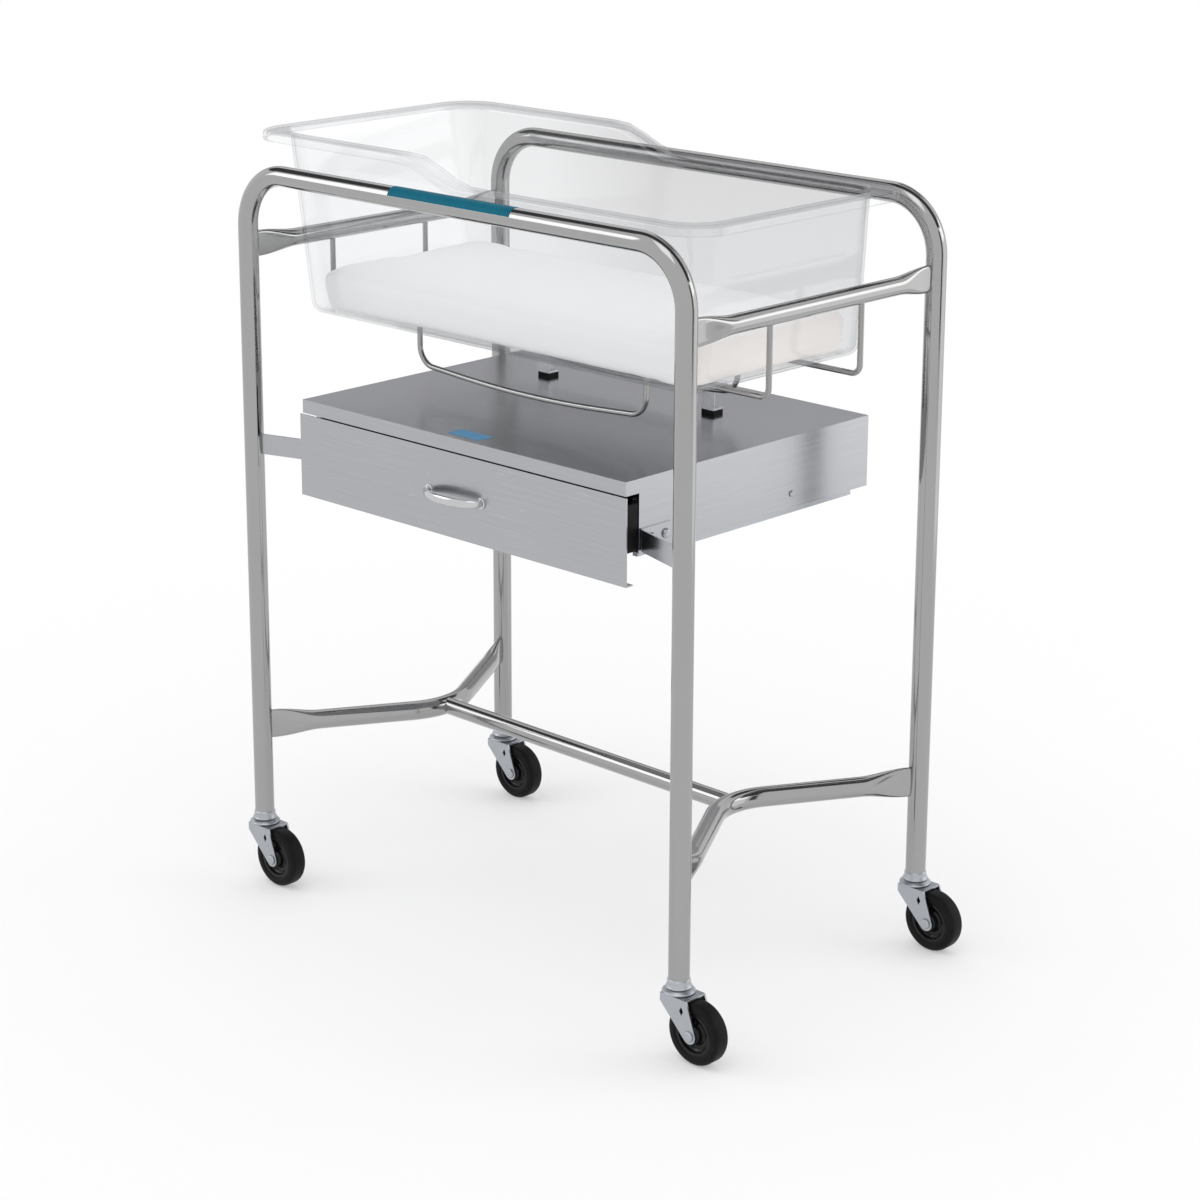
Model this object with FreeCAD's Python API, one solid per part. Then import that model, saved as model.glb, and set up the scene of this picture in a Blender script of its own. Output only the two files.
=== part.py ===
"""Hospital bassinet: a tubular trolley on swivel casters, with a wire cradle that carries a
clear flanged basket and its mattress, and a sheet-steel cabinet with one drawer below.

Millimetres. +X runs towards the foot end, +Y to the back (the drawer opens towards -Y), +Z up.
The origin is on the floor, below the middle of the overall extent. Everything is drawn about
the frame's own middle plane and moved when it is written, because the basket's head end reaches
past the legs by less than the trailing casters do.
"""
import FreeCAD, Part

import math
import os

V = FreeCAD.Vector

# Frame: two inverted U tubes, front and back, joined at each end by an upper rail and a foot brace
leg_spacing_x = 738.0
leg_spacing_y = 440.0
frame_tube_d = 25.4
frame_wall = 1.6
top_rail_z = 946.0
frame_bend_r = 70.0
end_rail_z = 852.0
end_rail_d = 22.2
end_rail_wall = 1.5
end_rail_flat_h = 33.0
end_rail_flat_t = 7.5
brace_z = 215.0
brace_flat_h = 38.0
brace_flat_t = 8.0
brace_bow = 130.0
brace_bend_r = 90.0
flat_grip = 18.0
flat_taper = 58.0
stretcher_d = 22.2

# Wire cradle under the basket
wire_d = 7.0
wire_spacing_y = 162.0
wire_drop = 95.0
wire_bend_r = 12.0
loop_width = 388.0
loop_shift_x = -12.0
loop_drop = 53.5
loop_bow = 13.0
loop_bend_r = 25.0
clip_spacing = 282.0
clip_shift_x = -6.0
clip_height = 29.5
clip_width = 20.0
clip_sheet = 2.5
clip_foot = 16.0
clip_screw_d = 5.0
clip_screw_head_d = 10.0
clip_screw_head_h = 3.5
clip_nut_d = 9.0
pad_thickness = 6.0

# Cabinet: folded shell with a back panel
cabinet_length = 554.0
cabinet_depth = 432.0
cabinet_height = 89.0
cabinet_sheet = 1.5
lip_height = 17.0
top_overhang = 22.0
side_flange = 11.0
strap_height = 26.0
strap_sheet = 3.0
strap_lift = 17.0
strap_setback = 2.0
strap_grip = 50.0
strap_bend_r = 6.0
bolt_d = 6.0
bolt_head_d = 12.0
bolt_head_h = 4.0
bolt_tail_d = 9.0
bolt_tail_h = 1.2
bolt_pitch = 24.0

# Drawer slides: a fixed channel on each cabinet side and a runner on each drawer side
slide_height = 48.0
slide_lift = 18.0
slide_rear_room = 28.0
slide_room = 12.5
slide_sheet = 1.2
slide_lip = 4.0
slide_play = 0.8
runner_rear_room = 37.0
runner_setback = 24.0
slide_screw_d = 4.0
slide_screw_head_d = 8.0
slide_screw_head_h = 2.4
slide_screw_from_front = 13.0
slide_screw_pitch = 201.0

# Drawer
front_overlap = 3.0
front_drop = 34.0
front_gap = 1.2
front_sheet = 1.5
front_hem = 10.0
front_proud = 2.0
box_sheet = 1.2
box_lift = 4.0
box_top_room = 11.0
box_rear_room = 19.0
buffer_gap = 0.4
buffer_inset = 1.0
pull_spacing = 90.0
pull_reach = 25.0
pull_d = 8.0
pull_foot_d = 14.0
pull_foot_h = 3.0
pull_screw_d = 4.0
pull_screw_head_d = 8.0
pull_screw_head_h = 2.5
pull_screw_bite = 8.0
front_screw_spacing = 420.0
front_screw_inset = 12.0

# Basket and mattress
basket_head_room = 30.0
basket_foot_room = 50.0
basket_head_draft = 37.0
basket_foot_draft = 16.0
basket_side_gap = 14.3
basket_side_draft = 13.0
basket_height = 230.0
basket_wall = 3.0
basket_rim = 25.0
basket_rim_thickness = 3.0
basket_lip_height = 11.0
basket_step_drop = 30.0
basket_step_x = -112.0
basket_step_length = 96.0
basket_rim_corner_r = 52.0
basket_mouth_corner_r = 48.0
basket_bottom_corner_r = 24.0
basket_floor_r = 14.0
seat_gap = 0.5
mattress_thickness = 50.0
mattress_gap = 4.0
mattress_edge_r = 12.0

# Labels: plain thin films
label_film = 0.3
rail_label_length = 204.0
rail_label_centre_x = 6.0
rail_label_from_deg = -20.0
rail_label_sweep_deg = 96.0
top_label_length = 55.0
top_label_width = 24.0
top_label_inset = 12.0

# Casters
wheel_d = 76.0
wheel_width = 24.0
wheel_core_d = 52.0
wheel_core_web = 9.0
wheel_core_rim = 4.0
wheel_core_inset = 1.5
wheel_hub_d = 22.0
wheel_hub_play = 0.5
wheel_top_gap = 0.9
wheel_side_gap = 2.5
wheel_shoulder_r = 6.0
caster_trail = 31.0
axle_d = 8.0
axle_play = 0.05
axle_head_d = 13.0
axle_head_h = 3.0
axle_nut_af = 13.0
axle_nut_h = 5.0
axle_tip = 1.0
fork_sheet = 2.5
fork_back = 14.0
fork_front = 26.0
fork_shoulder_h = 10.0
fork_boss_r = 9.5
fork_hole_length = 11.0
fork_hole_width = 6.0
fork_hole_from_stem = 19.0
fork_hole_below_plate = 14.0
stem_d = 11.0
stem_play = 0.05
stem_head_d = 18.0
stem_head_h = 3.0
stem_length_in_leg = 54.0
sleeve_length = 50.0
collar_d = 31.6
collar_h = 11.0
race_d = 39.5
race_h = 5.2
race_gap = 0.4
race_wall = 2.0
ball_d = 3.0
ball_count = 14
ball_play = 0.3

# Shares and allowances used all over
head_round_share = 0.8
overcut = 1.0
touch = 0.01

# Worked out from the sizes above
leg_x = leg_spacing_x / 2
leg_y = leg_spacing_y / 2
tube_r = frame_tube_d / 2
leg_bottom_z = wheel_d + wheel_top_gap + fork_sheet + race_gap + race_h + collar_h
wire_r = wire_d / 2
wire_y = wire_spacing_y / 2
wire_run_z = end_rail_z - wire_drop
loop_z = wire_run_z - loop_drop
loop_left = loop_shift_x - loop_width / 2
loop_right = loop_shift_x + loop_width / 2
cabinet_x = cabinet_length / 2
cabinet_y = cabinet_depth / 2
cabinet_top_z = loop_z - clip_height - pad_thickness
cabinet_bottom_z = cabinet_top_z - cabinet_height
side_front_y = -cabinet_y + top_overhang
lip_bottom_z = cabinet_top_z - lip_height
front_x = cabinet_x + front_overlap
front_face_y = -cabinet_y - front_proud
front_back_y = front_face_y + front_sheet
front_bottom_z = cabinet_bottom_z - front_drop
front_top_z = lip_bottom_z - front_gap
box_x = cabinet_x - cabinet_sheet - slide_room
box_bottom_z = cabinet_bottom_z + box_lift
box_top_z = lip_bottom_z - box_top_room
pull_z = (front_bottom_z + front_top_z) / 2
strap_z = cabinet_bottom_z + strap_lift
strap_corner_y = side_front_y + strap_setback
slide_z = cabinet_bottom_z + slide_lift
slide_front_y = strap_corner_y + strap_grip + slide_play
basket_left = -leg_x + basket_head_room
basket_right = leg_x - basket_foot_room
basket_mouth_depth = leg_spacing_y - frame_tube_d - 2 * (basket_rim + basket_side_gap)
basket_bottom_depth = basket_mouth_depth - 2 * basket_side_draft
basket_bottom_z = wire_run_z + wire_r + seat_gap
basket_high_z = basket_bottom_z + basket_height
basket_low_z = basket_high_z - basket_step_drop
rim_left = basket_left - basket_head_draft - basket_rim
rim_right = basket_right + basket_foot_draft + basket_rim
wheel_z = wheel_d / 2
fork_inside = wheel_width + 2 * wheel_side_gap
fork_y = fork_inside / 2 + fork_sheet
left_extent = min(rim_left, -leg_x - race_d / 2)
right_extent = leg_x + caster_trail + wheel_d / 2
middle_x = (left_extent + right_extent) / 2
collar_bottom_z = leg_bottom_z - collar_h
race_bottom_z = collar_bottom_z - race_h
fork_plate_z = race_bottom_z - race_gap
ball_z = fork_plate_z + ball_play + ball_d / 2
ball_circle_r = (race_d + stem_d) / 4
caster_places = {
    "front_left": (-leg_x, -leg_y),
    "front_right": (leg_x, -leg_y),
    "rear_left": (-leg_x, leg_y),
    "rear_right": (leg_x, leg_y),
}


def save(name, *solids):
    """Writes one node, moved to the origin: one solid, or several separate ones together."""
    shape = solids[0] if len(solids) == 1 else Part.makeCompound(list(solids))
    shape = shape.translated(V(-middle_x, 0, 0))
    shape.exportStep(os.path.join("parts", name + ".step"))


def box(x0, x1, y0, y1, z0, z1):
    """Block between two corners."""
    return Part.makeBox(x1 - x0, y1 - y0, z1 - z0, V(x0, y0, z0))


def rod(radius, start, end):
    """Round bar between two points."""
    run = end - start
    return Part.makeCylinder(radius, run.Length, start, run)


def ring(outer_r, inner_r, x, y, z0, z1):
    """Upright ring."""
    outer = Part.makeCylinder(outer_r, z1 - z0, V(x, y, z0))
    height = z1 - z0 + 2 * overcut
    return outer.cut(Part.makeCylinder(inner_r, height, V(x, y, z0 - overcut)))


def bent_path(points, bends):
    """Wire through the points, with an arc tangent to the runs at every inner one.

    bends is one radius for all of them, or a tuple with a radius for each.
    """
    radii = bends if isinstance(bends, tuple) else (bends,) * (len(points) - 2)
    edges = []
    at = points[0]
    for before, corner, after, bend_r in zip(points, points[1:], points[2:], radii):
        back = (before - corner).normalize()
        on = (after - corner).normalize()
        half = back.getAngle(on) / 2
        start = corner + back * (bend_r / math.tan(half))
        end = corner + on * (bend_r / math.tan(half))
        bisector = (back + on).normalize()
        middle = corner + bisector * (bend_r / math.sin(half) - bend_r)
        edges.append(Part.LineSegment(at, start).toShape())
        edges.append(Part.Arc(start, middle, end).toShape())
        at = end
    edges.append(Part.LineSegment(at, points[-1]).toShape())
    return Part.Wire(edges)


def swept_rod(points, bends, radius):
    """Round bar along a bent path."""
    path = bent_path(points, bends)
    first = points[1] - points[0]
    profile = Part.Wire([Part.makeCircle(radius, points[0], first)])
    return path.makePipeShell([profile], True, False)


def swept_tube(points, bends, outer_r, wall):
    """Round tube along a bent path, open at both ends."""
    return swept_rod(points, bends, outer_r).cut(swept_rod(points, bends, outer_r - wall))


def ellipse_wire(x, tall, thick):
    """Upright ellipse in the plane at x, tall along Z."""
    curve = Part.Ellipse(V(x, 0, tall / 2), V(x, thick / 2, 0), V(x, 0, 0))
    return Part.Wire([curve.toShape()])


def flattened_end(tube_d, wall, flat_h, flat_t):
    """Tube end along +X from the origin, pressed flat and upright where it grips the leg."""
    solids = []
    for inset in (0, wall):
        flat = ellipse_wire(0, flat_h - 2 * inset, flat_t - 2 * inset)
        grip_end = ellipse_wire(flat_grip, flat_h - 2 * inset, flat_t - 2 * inset)
        round_end = ellipse_wire(flat_grip + flat_taper, tube_d - 2 * inset, tube_d - 2 * inset)
        grip = Part.makeLoft([flat, grip_end], True, True)
        taper = Part.makeLoft([grip_end, round_end], True, True)
        solids.append(grip.fuse(taper))
    return solids[0].cut(solids[1])


def placed(shape, point, heading_deg):
    """Copy turned about Z and moved to a point."""
    moved = shape.copy()
    moved.rotate(V(0, 0, 0), V(0, 0, 1), heading_deg)
    moved.translate(point)
    return moved


def mirrored_x(shape):
    """Copy on the other side of the plane between the two ends."""
    return shape.mirror(V(0, 0, 0), V(1, 0, 0))


def mirrored_y(shape):
    """Copy on the other side of the plane between front and back."""
    return shape.mirror(V(0, 0, 0), V(0, 1, 0))


def leg_solid(x, y):
    """The full round of one leg, to fit the pieces that are welded onto it."""
    height = top_rail_z - frame_bend_r - leg_bottom_z
    return Part.makeCylinder(tube_r, height, V(x, y, leg_bottom_z))


def rounded_outline(left, right, depth, corner_r, z):
    """Horizontal rounded rectangle, as deep in front of the middle plane as behind it."""
    front, back = -depth / 2, depth / 2
    corners = [V(right, front, z), V(right, back, z), V(left, back, z), V(left, front, z)]
    middle = V((left + right) / 2, front, z)
    return bent_path([middle, *corners, middle], corner_r)


def largest(shape):
    """The biggest solid of a shape, without the slivers that a cut leaves behind."""
    return max(shape.Solids, key=lambda solid: solid.Volume)


# ---------------------------------------------------------------- frame


def frame_tube(side):
    """Inverted U tube: two legs and the top rail. side is -1 for the front, 1 for the back."""
    y = side * leg_y
    points = [
        V(-leg_x, y, leg_bottom_z),
        V(-leg_x, y, top_rail_z),
        V(leg_x, y, top_rail_z),
        V(leg_x, y, leg_bottom_z),
    ]
    return swept_tube(points, frame_bend_r, tube_r, frame_wall)


def fitted_to_legs(shape, x):
    """Copes a piece at the two legs of one end, so that it meets them face to face."""
    return shape.cut(leg_solid(x, -leg_y)).cut(leg_solid(x, leg_y))


def end_rail():
    """Straight upper rail of the right end, flattened at both legs."""
    end = flattened_end(end_rail_d, end_rail_wall, end_rail_flat_h, end_rail_flat_t)
    near = placed(end, V(leg_x, -leg_y, end_rail_z), 90)
    half_run = leg_y - flat_grip - flat_taper
    start, stop = V(leg_x, -half_run, end_rail_z), V(leg_x, half_run, end_rail_z)
    middle = rod(end_rail_d / 2, start, stop).cut(rod(end_rail_d / 2 - end_rail_wall, start, stop))
    rail = near.fuse(middle).fuse(mirrored_y(near))
    return fitted_to_legs(rail, leg_x)


def brace_points():
    """Corner points of the right foot brace, from the front leg round to the back one."""
    front = V(leg_x, -leg_y, brace_z)
    apex = V(leg_x - brace_bow, 0, brace_z)
    back = V(leg_x, leg_y, brace_z)
    return front, apex, back


def brace_round_points():
    """The same corners with the ends cut back to where the tube is round."""
    front, apex, back = brace_points()
    skip = flat_grip + flat_taper
    start = front + (apex - front).normalize() * skip
    end = back + (apex - back).normalize() * skip
    return [start, apex, end]


def foot_brace():
    """Foot brace of the right end: bowed inwards in plan, flattened at both legs."""
    front, apex, back = brace_points()
    run = apex - front
    heading = math.degrees(math.atan2(run.y, run.x))
    end = flattened_end(frame_tube_d, frame_wall, brace_flat_h, brace_flat_t)
    near = placed(end, front, heading)
    middle = swept_tube(brace_round_points(), brace_bend_r, tube_r, frame_wall)
    return fitted_to_legs(near.fuse(middle).fuse(mirrored_y(near)), leg_x)


def stretcher():
    """Long tube between the two foot braces, coped to both."""
    reach = leg_x - brace_bow + brace_bend_r
    outer = rod(stretcher_d / 2, V(-reach, 0, brace_z), V(reach, 0, brace_z))
    inner_r = stretcher_d / 2 - frame_wall
    inner = rod(inner_r, V(-reach, 0, brace_z), V(reach, 0, brace_z))
    brace_round = swept_rod(brace_round_points(), brace_bend_r, tube_r)
    return largest(outer.cut(inner).cut(brace_round).cut(mirrored_x(brace_round)))


def make_frame():
    save("front_frame_tube", frame_tube(-1))
    save("rear_frame_tube", frame_tube(1))
    rail = end_rail()
    save("right_end_rail", rail)
    save("left_end_rail", mirrored_x(rail))
    brace = foot_brace()
    save("right_foot_brace", brace)
    save("left_foot_brace", mirrored_x(brace))
    save("stretcher_tube", stretcher())


# ---------------------------------------------------------------- wire cradle


def cradle_wire(side):
    """Long wire hung from both end rails, which it meets on their undersides."""
    y = side * wire_y
    points = [
        V(-leg_x, y, end_rail_z),
        V(-leg_x, y, wire_run_z),
        V(leg_x, y, wire_run_z),
        V(leg_x, y, end_rail_z),
    ]
    wire = swept_rod(points, wire_bend_r, wire_r)
    for x in (-leg_x, leg_x):
        rail = rod(end_rail_d / 2, V(x, -leg_y, end_rail_z), V(x, leg_y, end_rail_z))
        wire = wire.cut(rail)
    return largest(wire)


def drop_loop(side):
    """Shallow wire loop welded below a cradle wire; its lower run sags a little."""
    y = side * wire_y
    points = [
        V(loop_left, y, wire_run_z),
        V(loop_left, y, loop_z),
        V(loop_shift_x, y, loop_z - loop_bow),
        V(loop_right, y, loop_z),
        V(loop_right, y, wire_run_z),
    ]
    half = loop_width / 2
    sag_r = (half - 3 * loop_bend_r) * half / loop_bow
    loop = swept_rod(points, (loop_bend_r, sag_r, loop_bend_r), wire_r)
    run = rod(wire_r, V(-leg_x, y, wire_run_z), V(leg_x, y, wire_run_z))
    return largest(loop.cut(run))


def clip_places():
    """Centres of the two clips that tie the cabinet to the back loop."""
    xs = (clip_shift_x - clip_spacing / 2, clip_shift_x + clip_spacing / 2)
    return [V(x, wire_y, 0) for x in xs]


def loop_clip(place, loop):
    """Angle clip: an upright tab under the loop's wire and a foot on the rubber pad."""
    foot_z = cabinet_top_z + pad_thickness
    half = clip_width / 2
    tab_back = place.y + clip_sheet / 2
    tab_front = place.y - clip_sheet / 2
    tab = box(place.x - half, place.x + half, tab_front, tab_back, foot_z, loop_z)
    foot_top_z = foot_z + clip_sheet
    foot = box(place.x - half, place.x + half, tab_front, place.y + clip_foot, foot_z, foot_top_z)
    return largest(tab.fuse(foot).cut(loop).cut(clip_bore(place)))


def clip_bore(place):
    """Cylinder that clears a clip's screw through the foot, the pad and the cabinet top."""
    bottom = clip_screw_place(place, cabinet_top_z - 2 * cabinet_sheet)
    top = clip_screw_place(place, cabinet_top_z + pad_thickness + 2 * clip_sheet)
    return rod(clip_screw_d / 2, bottom, top)


def clip_screw_place(place, z):
    """Axis point of a clip's screw, midway along its foot."""
    return V(place.x, place.y + (clip_sheet / 2 + clip_foot) / 2, z)


def loop_pad(place):
    """Rubber pad between a clip's foot and the cabinet top."""
    half = clip_width / 2
    pad = box(
        place.x - half, place.x + half,
        place.y - clip_sheet / 2, place.y + clip_foot,
        cabinet_top_z, cabinet_top_z + pad_thickness,
    )
    return pad.cut(clip_bore(place))


def clip_screw(place):
    """Pan-head screw through the clip's foot, the pad and the cabinet top, with its nut."""
    head_z = cabinet_top_z + pad_thickness + clip_sheet
    nut_top_z = cabinet_top_z - cabinet_sheet
    nut_z = nut_top_z - clip_screw_head_h
    shank = rod(clip_screw_d / 2, clip_screw_place(place, nut_z), clip_screw_place(place, head_z))
    head = Part.makeCylinder(clip_screw_head_d / 2, clip_screw_head_h, clip_screw_place(place, head_z))
    nut = Part.makeCylinder(clip_nut_d / 2, clip_screw_head_h, clip_screw_place(place, nut_z))
    return shank.fuse(head).fuse(nut)


def make_cradle():
    save("front_cradle_wire", cradle_wire(-1))
    save("rear_cradle_wire", cradle_wire(1))
    save("front_drop_loop", drop_loop(-1))
    rear_loop = drop_loop(1)
    save("rear_drop_loop", rear_loop)
    save("loop_clips", *[loop_clip(place, rear_loop) for place in clip_places()])
    save("loop_clip_pads", *[loop_pad(place) for place in clip_places()])
    save("loop_clip_screws", *[clip_screw(place) for place in clip_places()])


# ---------------------------------------------------------------- cabinet


def bolt_ys():
    """Bolt places along a strap's grip on the cabinet."""
    middle = strap_corner_y + (strap_bend_r + strap_grip) / 2
    return [middle - bolt_pitch / 2, middle + bolt_pitch / 2]


def slide_screw_ys():
    """Screw places along a slide channel."""
    front = slide_front_y + slide_screw_from_front
    return [front, front + slide_screw_pitch]


def cabinet_shell():
    """Folded shell: top, two sides with return flanges above the slides, and the front lip."""
    x, y, t = cabinet_x, cabinet_y, cabinet_sheet
    flange_z = slide_z + slide_height / 2 + slide_play
    shell = box(-x, x, -y, y, cabinet_top_z - t, cabinet_top_z)
    shell = shell.fuse(box(-x, x, -y, -y + t, lip_bottom_z, cabinet_top_z))
    for side in (-1, 1):
        outer, inner = sorted((side * x, side * (x - t)))
        wall = box(outer, inner, side_front_y, y, cabinet_bottom_z, cabinet_top_z)
        cheek = box(outer, inner, -y, side_front_y, lip_bottom_z, cabinet_top_z)
        near, far = sorted((side * x, side * (x - side_flange)))
        flange = box(near, far, side_front_y, side_front_y + t, flange_z, cabinet_top_z)
        shell = shell.fuse(wall).fuse(cheek).fuse(flange)
    shell = shell.removeSplitter()
    for hole in side_holes():
        shell = shell.cut(hole)
    for place in clip_places():
        shell = shell.cut(clip_bore(place))
    return shell


def side_holes():
    """Cylinders that clear the strap bolts and the slide screws through both sides."""
    holes = []
    for side in (-1, 1):
        start = side * (cabinet_x - 3 * cabinet_sheet)
        end = side * (cabinet_x + 2 * strap_sheet)
        for y in bolt_ys():
            holes.append(rod(bolt_d / 2, V(start, y, strap_z), V(end, y, strap_z)))
        for y in slide_screw_ys():
            holes.append(rod(slide_screw_d / 2, V(start, y, slide_z), V(end, y, slide_z)))
    return holes


def cabinet_back():
    """Back panel, welded between the sides and under the top."""
    x = cabinet_x - cabinet_sheet
    y = cabinet_y
    return box(-x, x, y - cabinet_sheet, y, cabinet_bottom_z, cabinet_top_z - cabinet_sheet)


def cabinet_strap(side):
    """Flat strap from a front leg to the cabinet's side, bent to lie along the side."""
    plate_x = side * (cabinet_x + strap_sheet / 2)
    points = [
        V(side * leg_x, -leg_y, strap_z),
        V(plate_x, strap_corner_y, strap_z),
        V(plate_x, strap_corner_y + strap_grip, strap_z),
    ]
    path = bent_path(points, strap_bend_r)
    run = (points[1] - points[0]).normalize()
    across = V(-run.y, run.x, 0) * (strap_sheet / 2)
    up = V(0, 0, strap_height / 2)
    start = points[0]
    corners = [start - across - up, start + across - up, start + across + up, start - across + up]
    profile = Part.makePolygon(corners + corners[:1])
    strap = path.makePipeShell([profile], True, False)
    strap = strap.cut(leg_solid(side * leg_x, -leg_y))
    for hole in side_holes():
        strap = strap.cut(hole)
    return largest(strap)


def strap_bolt(side, y):
    """Dome-head bolt that holds a strap to the cabinet's side, with its thin inner washer."""
    outside = side * (cabinet_x + strap_sheet)
    inside = side * (cabinet_x - cabinet_sheet)
    shank = rod(bolt_d / 2, V(inside, y, strap_z), V(outside, y, strap_z))
    head = rod(bolt_head_d / 2, V(outside, y, strap_z), V(outside + side * bolt_head_h, y, strap_z))
    tail = rod(bolt_tail_d / 2, V(inside, y, strap_z), V(inside - side * bolt_tail_h, y, strap_z))
    return shank.fuse(domed(head, side, bolt_head_h)).fuse(tail)


def domed(head, side, height):
    """Rounds the outer edge of a screw head that lies along X."""
    return head.makeFillet(height * head_round_share, [head.Edges[edge_far_from(head, side)]])


def edge_far_from(head, side):
    """Index of a head's circular edge that lies furthest out on one side."""
    reach = [side * edge.CenterOfMass.x for edge in head.Edges]
    return reach.index(max(reach))


def make_cabinet():
    save("cabinet_shell", cabinet_shell())
    save("cabinet_back", cabinet_back())
    save("left_cabinet_strap", cabinet_strap(-1))
    save("right_cabinet_strap", cabinet_strap(1))
    save("strap_bolts", *[strap_bolt(side, y) for side in (-1, 1) for y in bolt_ys()])


# ---------------------------------------------------------------- drawer slides


def channel_mouth_x():
    """Where a channel's lips end, on the side of the drawer."""
    return box_x + slide_play


def slide_channel():
    """Fixed channel on the right side: web on the cabinet, flanges and lips towards the drawer."""
    web_x = cabinet_x - cabinet_sheet
    mouth_x = channel_mouth_x()
    low, high = slide_z - slide_height / 2, slide_z + slide_height / 2
    y0, y1 = slide_front_y, cabinet_y - cabinet_sheet - slide_rear_room
    room_low, room_high = low + slide_sheet, high - slide_sheet
    room_x = web_x - slide_sheet
    block = box(mouth_x, web_x, y0, y1, low, high)
    room = box(mouth_x + slide_sheet, room_x, y0, y1, room_low, room_high)
    mouth = box(mouth_x, room_x, y0, y1, room_low + slide_lip, room_high - slide_lip)
    channel = block.cut(room).cut(mouth)
    for hole in side_holes():
        channel = channel.cut(hole)
    return channel


def slide_runner():
    """Moving runner on the right drawer side: a neck through the mouth and a head inside."""
    head_x0 = channel_mouth_x() + slide_sheet + slide_play
    head_x1 = cabinet_x - cabinet_sheet - max(slide_sheet, bolt_tail_h) - slide_play
    head_half = slide_height / 2 - slide_sheet - slide_play
    neck_half = slide_height / 2 - slide_sheet - slide_lip - slide_play
    groove_half = neck_half - slide_sheet
    y0 = front_back_y + runner_setback
    y1 = cabinet_y - cabinet_sheet - runner_rear_room
    neck = box(box_x, head_x0, y0, y1, slide_z - neck_half, slide_z + neck_half)
    head = box(head_x0, head_x1, y0, y1, slide_z - head_half, slide_z + head_half)
    groove = box(box_x + slide_sheet, head_x1, y0, y1, slide_z - groove_half, slide_z + groove_half)
    return neck.fuse(head).cut(groove).removeSplitter()


def slide_screws():
    """Pan-head screws that hold the channels, heads on the outside of the cabinet."""
    screws = []
    for side in (-1, 1):
        outside = side * cabinet_x
        inside = side * (cabinet_x - cabinet_sheet - slide_sheet)
        for y in slide_screw_ys():
            shank = rod(slide_screw_d / 2, V(inside, y, slide_z), V(outside, y, slide_z))
            end = V(outside + side * slide_screw_head_h, y, slide_z)
            head = rod(slide_screw_head_d / 2, V(outside, y, slide_z), end)
            screws.append(shank.fuse(domed(head, side, slide_screw_head_h)))
    return screws


def make_slides():
    channel = slide_channel()
    save("right_slide_channel", channel)
    save("left_slide_channel", mirrored_x(channel))
    runner = slide_runner()
    save("right_slide_runner", runner)
    save("left_slide_runner", mirrored_x(runner))
    save("slide_screws", *slide_screws())


# ---------------------------------------------------------------- drawer


def front_screw_places():
    """Axis points of the four screws that hold the drawer's front to its box."""
    low = box_bottom_z + front_screw_inset
    high = box_top_z - front_screw_inset
    xs = (-front_screw_spacing / 2, front_screw_spacing / 2)
    return [(x, z) for x in xs for z in (low, high)]


def drawer_bores():
    """Holes through the box front and the drawer front for the pull's and the front's screws."""
    y0, y1 = front_face_y - overcut, front_back_y + box_sheet + overcut
    bores = []
    for x in (-pull_spacing / 2, pull_spacing / 2):
        bores.append(rod(pull_screw_d / 2, V(x, y0, pull_z), V(x, y1, pull_z)))
    for x, z in front_screw_places():
        bores.append(rod(pull_screw_d / 2, V(x, front_back_y - front_sheet / 2, z), V(x, y1, z)))
    return bores


def drawer_box():
    """Open tray behind the drawer's front."""
    y0, y1 = front_back_y, cabinet_y - cabinet_sheet - box_rear_room
    outer = box(-box_x, box_x, y0, y1, box_bottom_z, box_top_z)
    inner = box(
        -box_x + box_sheet, box_x - box_sheet, y0 + box_sheet, y1 - box_sheet,
        box_bottom_z + box_sheet, box_top_z + overcut,
    )
    tray = outer.cut(inner)
    for bore in drawer_bores():
        tray = tray.cut(bore)
    return tray


def drawer_front():
    """Drawer front: a flat sheet with a hem along its lower edge."""
    panel = box(-front_x, front_x, front_face_y, front_back_y, front_bottom_z, front_top_z)
    hem_end, hem_top_z = front_back_y + front_hem, front_bottom_z + front_sheet
    hem = box(-front_x, front_x, front_back_y, hem_end, front_bottom_z, hem_top_z)
    panel = panel.fuse(hem).removeSplitter()
    for bore in drawer_bores():
        panel = panel.cut(bore)
    return panel


def drawer_buffer(side):
    """Black rubber buffer behind one edge of the drawer's front; it closes on the cabinet side."""
    near, far = sorted((side * box_x, side * (cabinet_x - buffer_inset)))
    return box(near, far, front_back_y, side_front_y - buffer_gap, box_bottom_z, box_top_z)


def drawer_pull():
    """Bow pull: an arched bar on two round feet."""
    half = pull_spacing / 2
    face = front_face_y
    centre_y = face - pull_reach + pull_d / 2
    arc = Part.Arc(V(-half, face, pull_z), V(0, centre_y, pull_z), V(half, face, pull_z)).toShape()
    path = Part.Wire([arc])
    tangent = arc.tangentAt(arc.FirstParameter)
    start = arc.valueAt(arc.FirstParameter)
    profile = Part.Wire([Part.makeCircle(pull_d / 2, start, tangent)])
    bar = path.makePipeShell([profile], True, False)
    pull = bar
    for x in (-half, half):
        foot = rod(pull_foot_d / 2, V(x, face, pull_z), V(x, face - pull_foot_h, pull_z))
        pull = pull.fuse(foot)
    keep = box(-2 * half, 2 * half, face - 2 * pull_reach, face, pull_z - half, pull_z + half)
    pull = pull.common(keep)
    for x in (-half, half):
        pull = pull.cut(rod(pull_screw_d / 2, V(x, face, pull_z), V(x, face - pull_screw_bite, pull_z)))
    return pull


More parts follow.
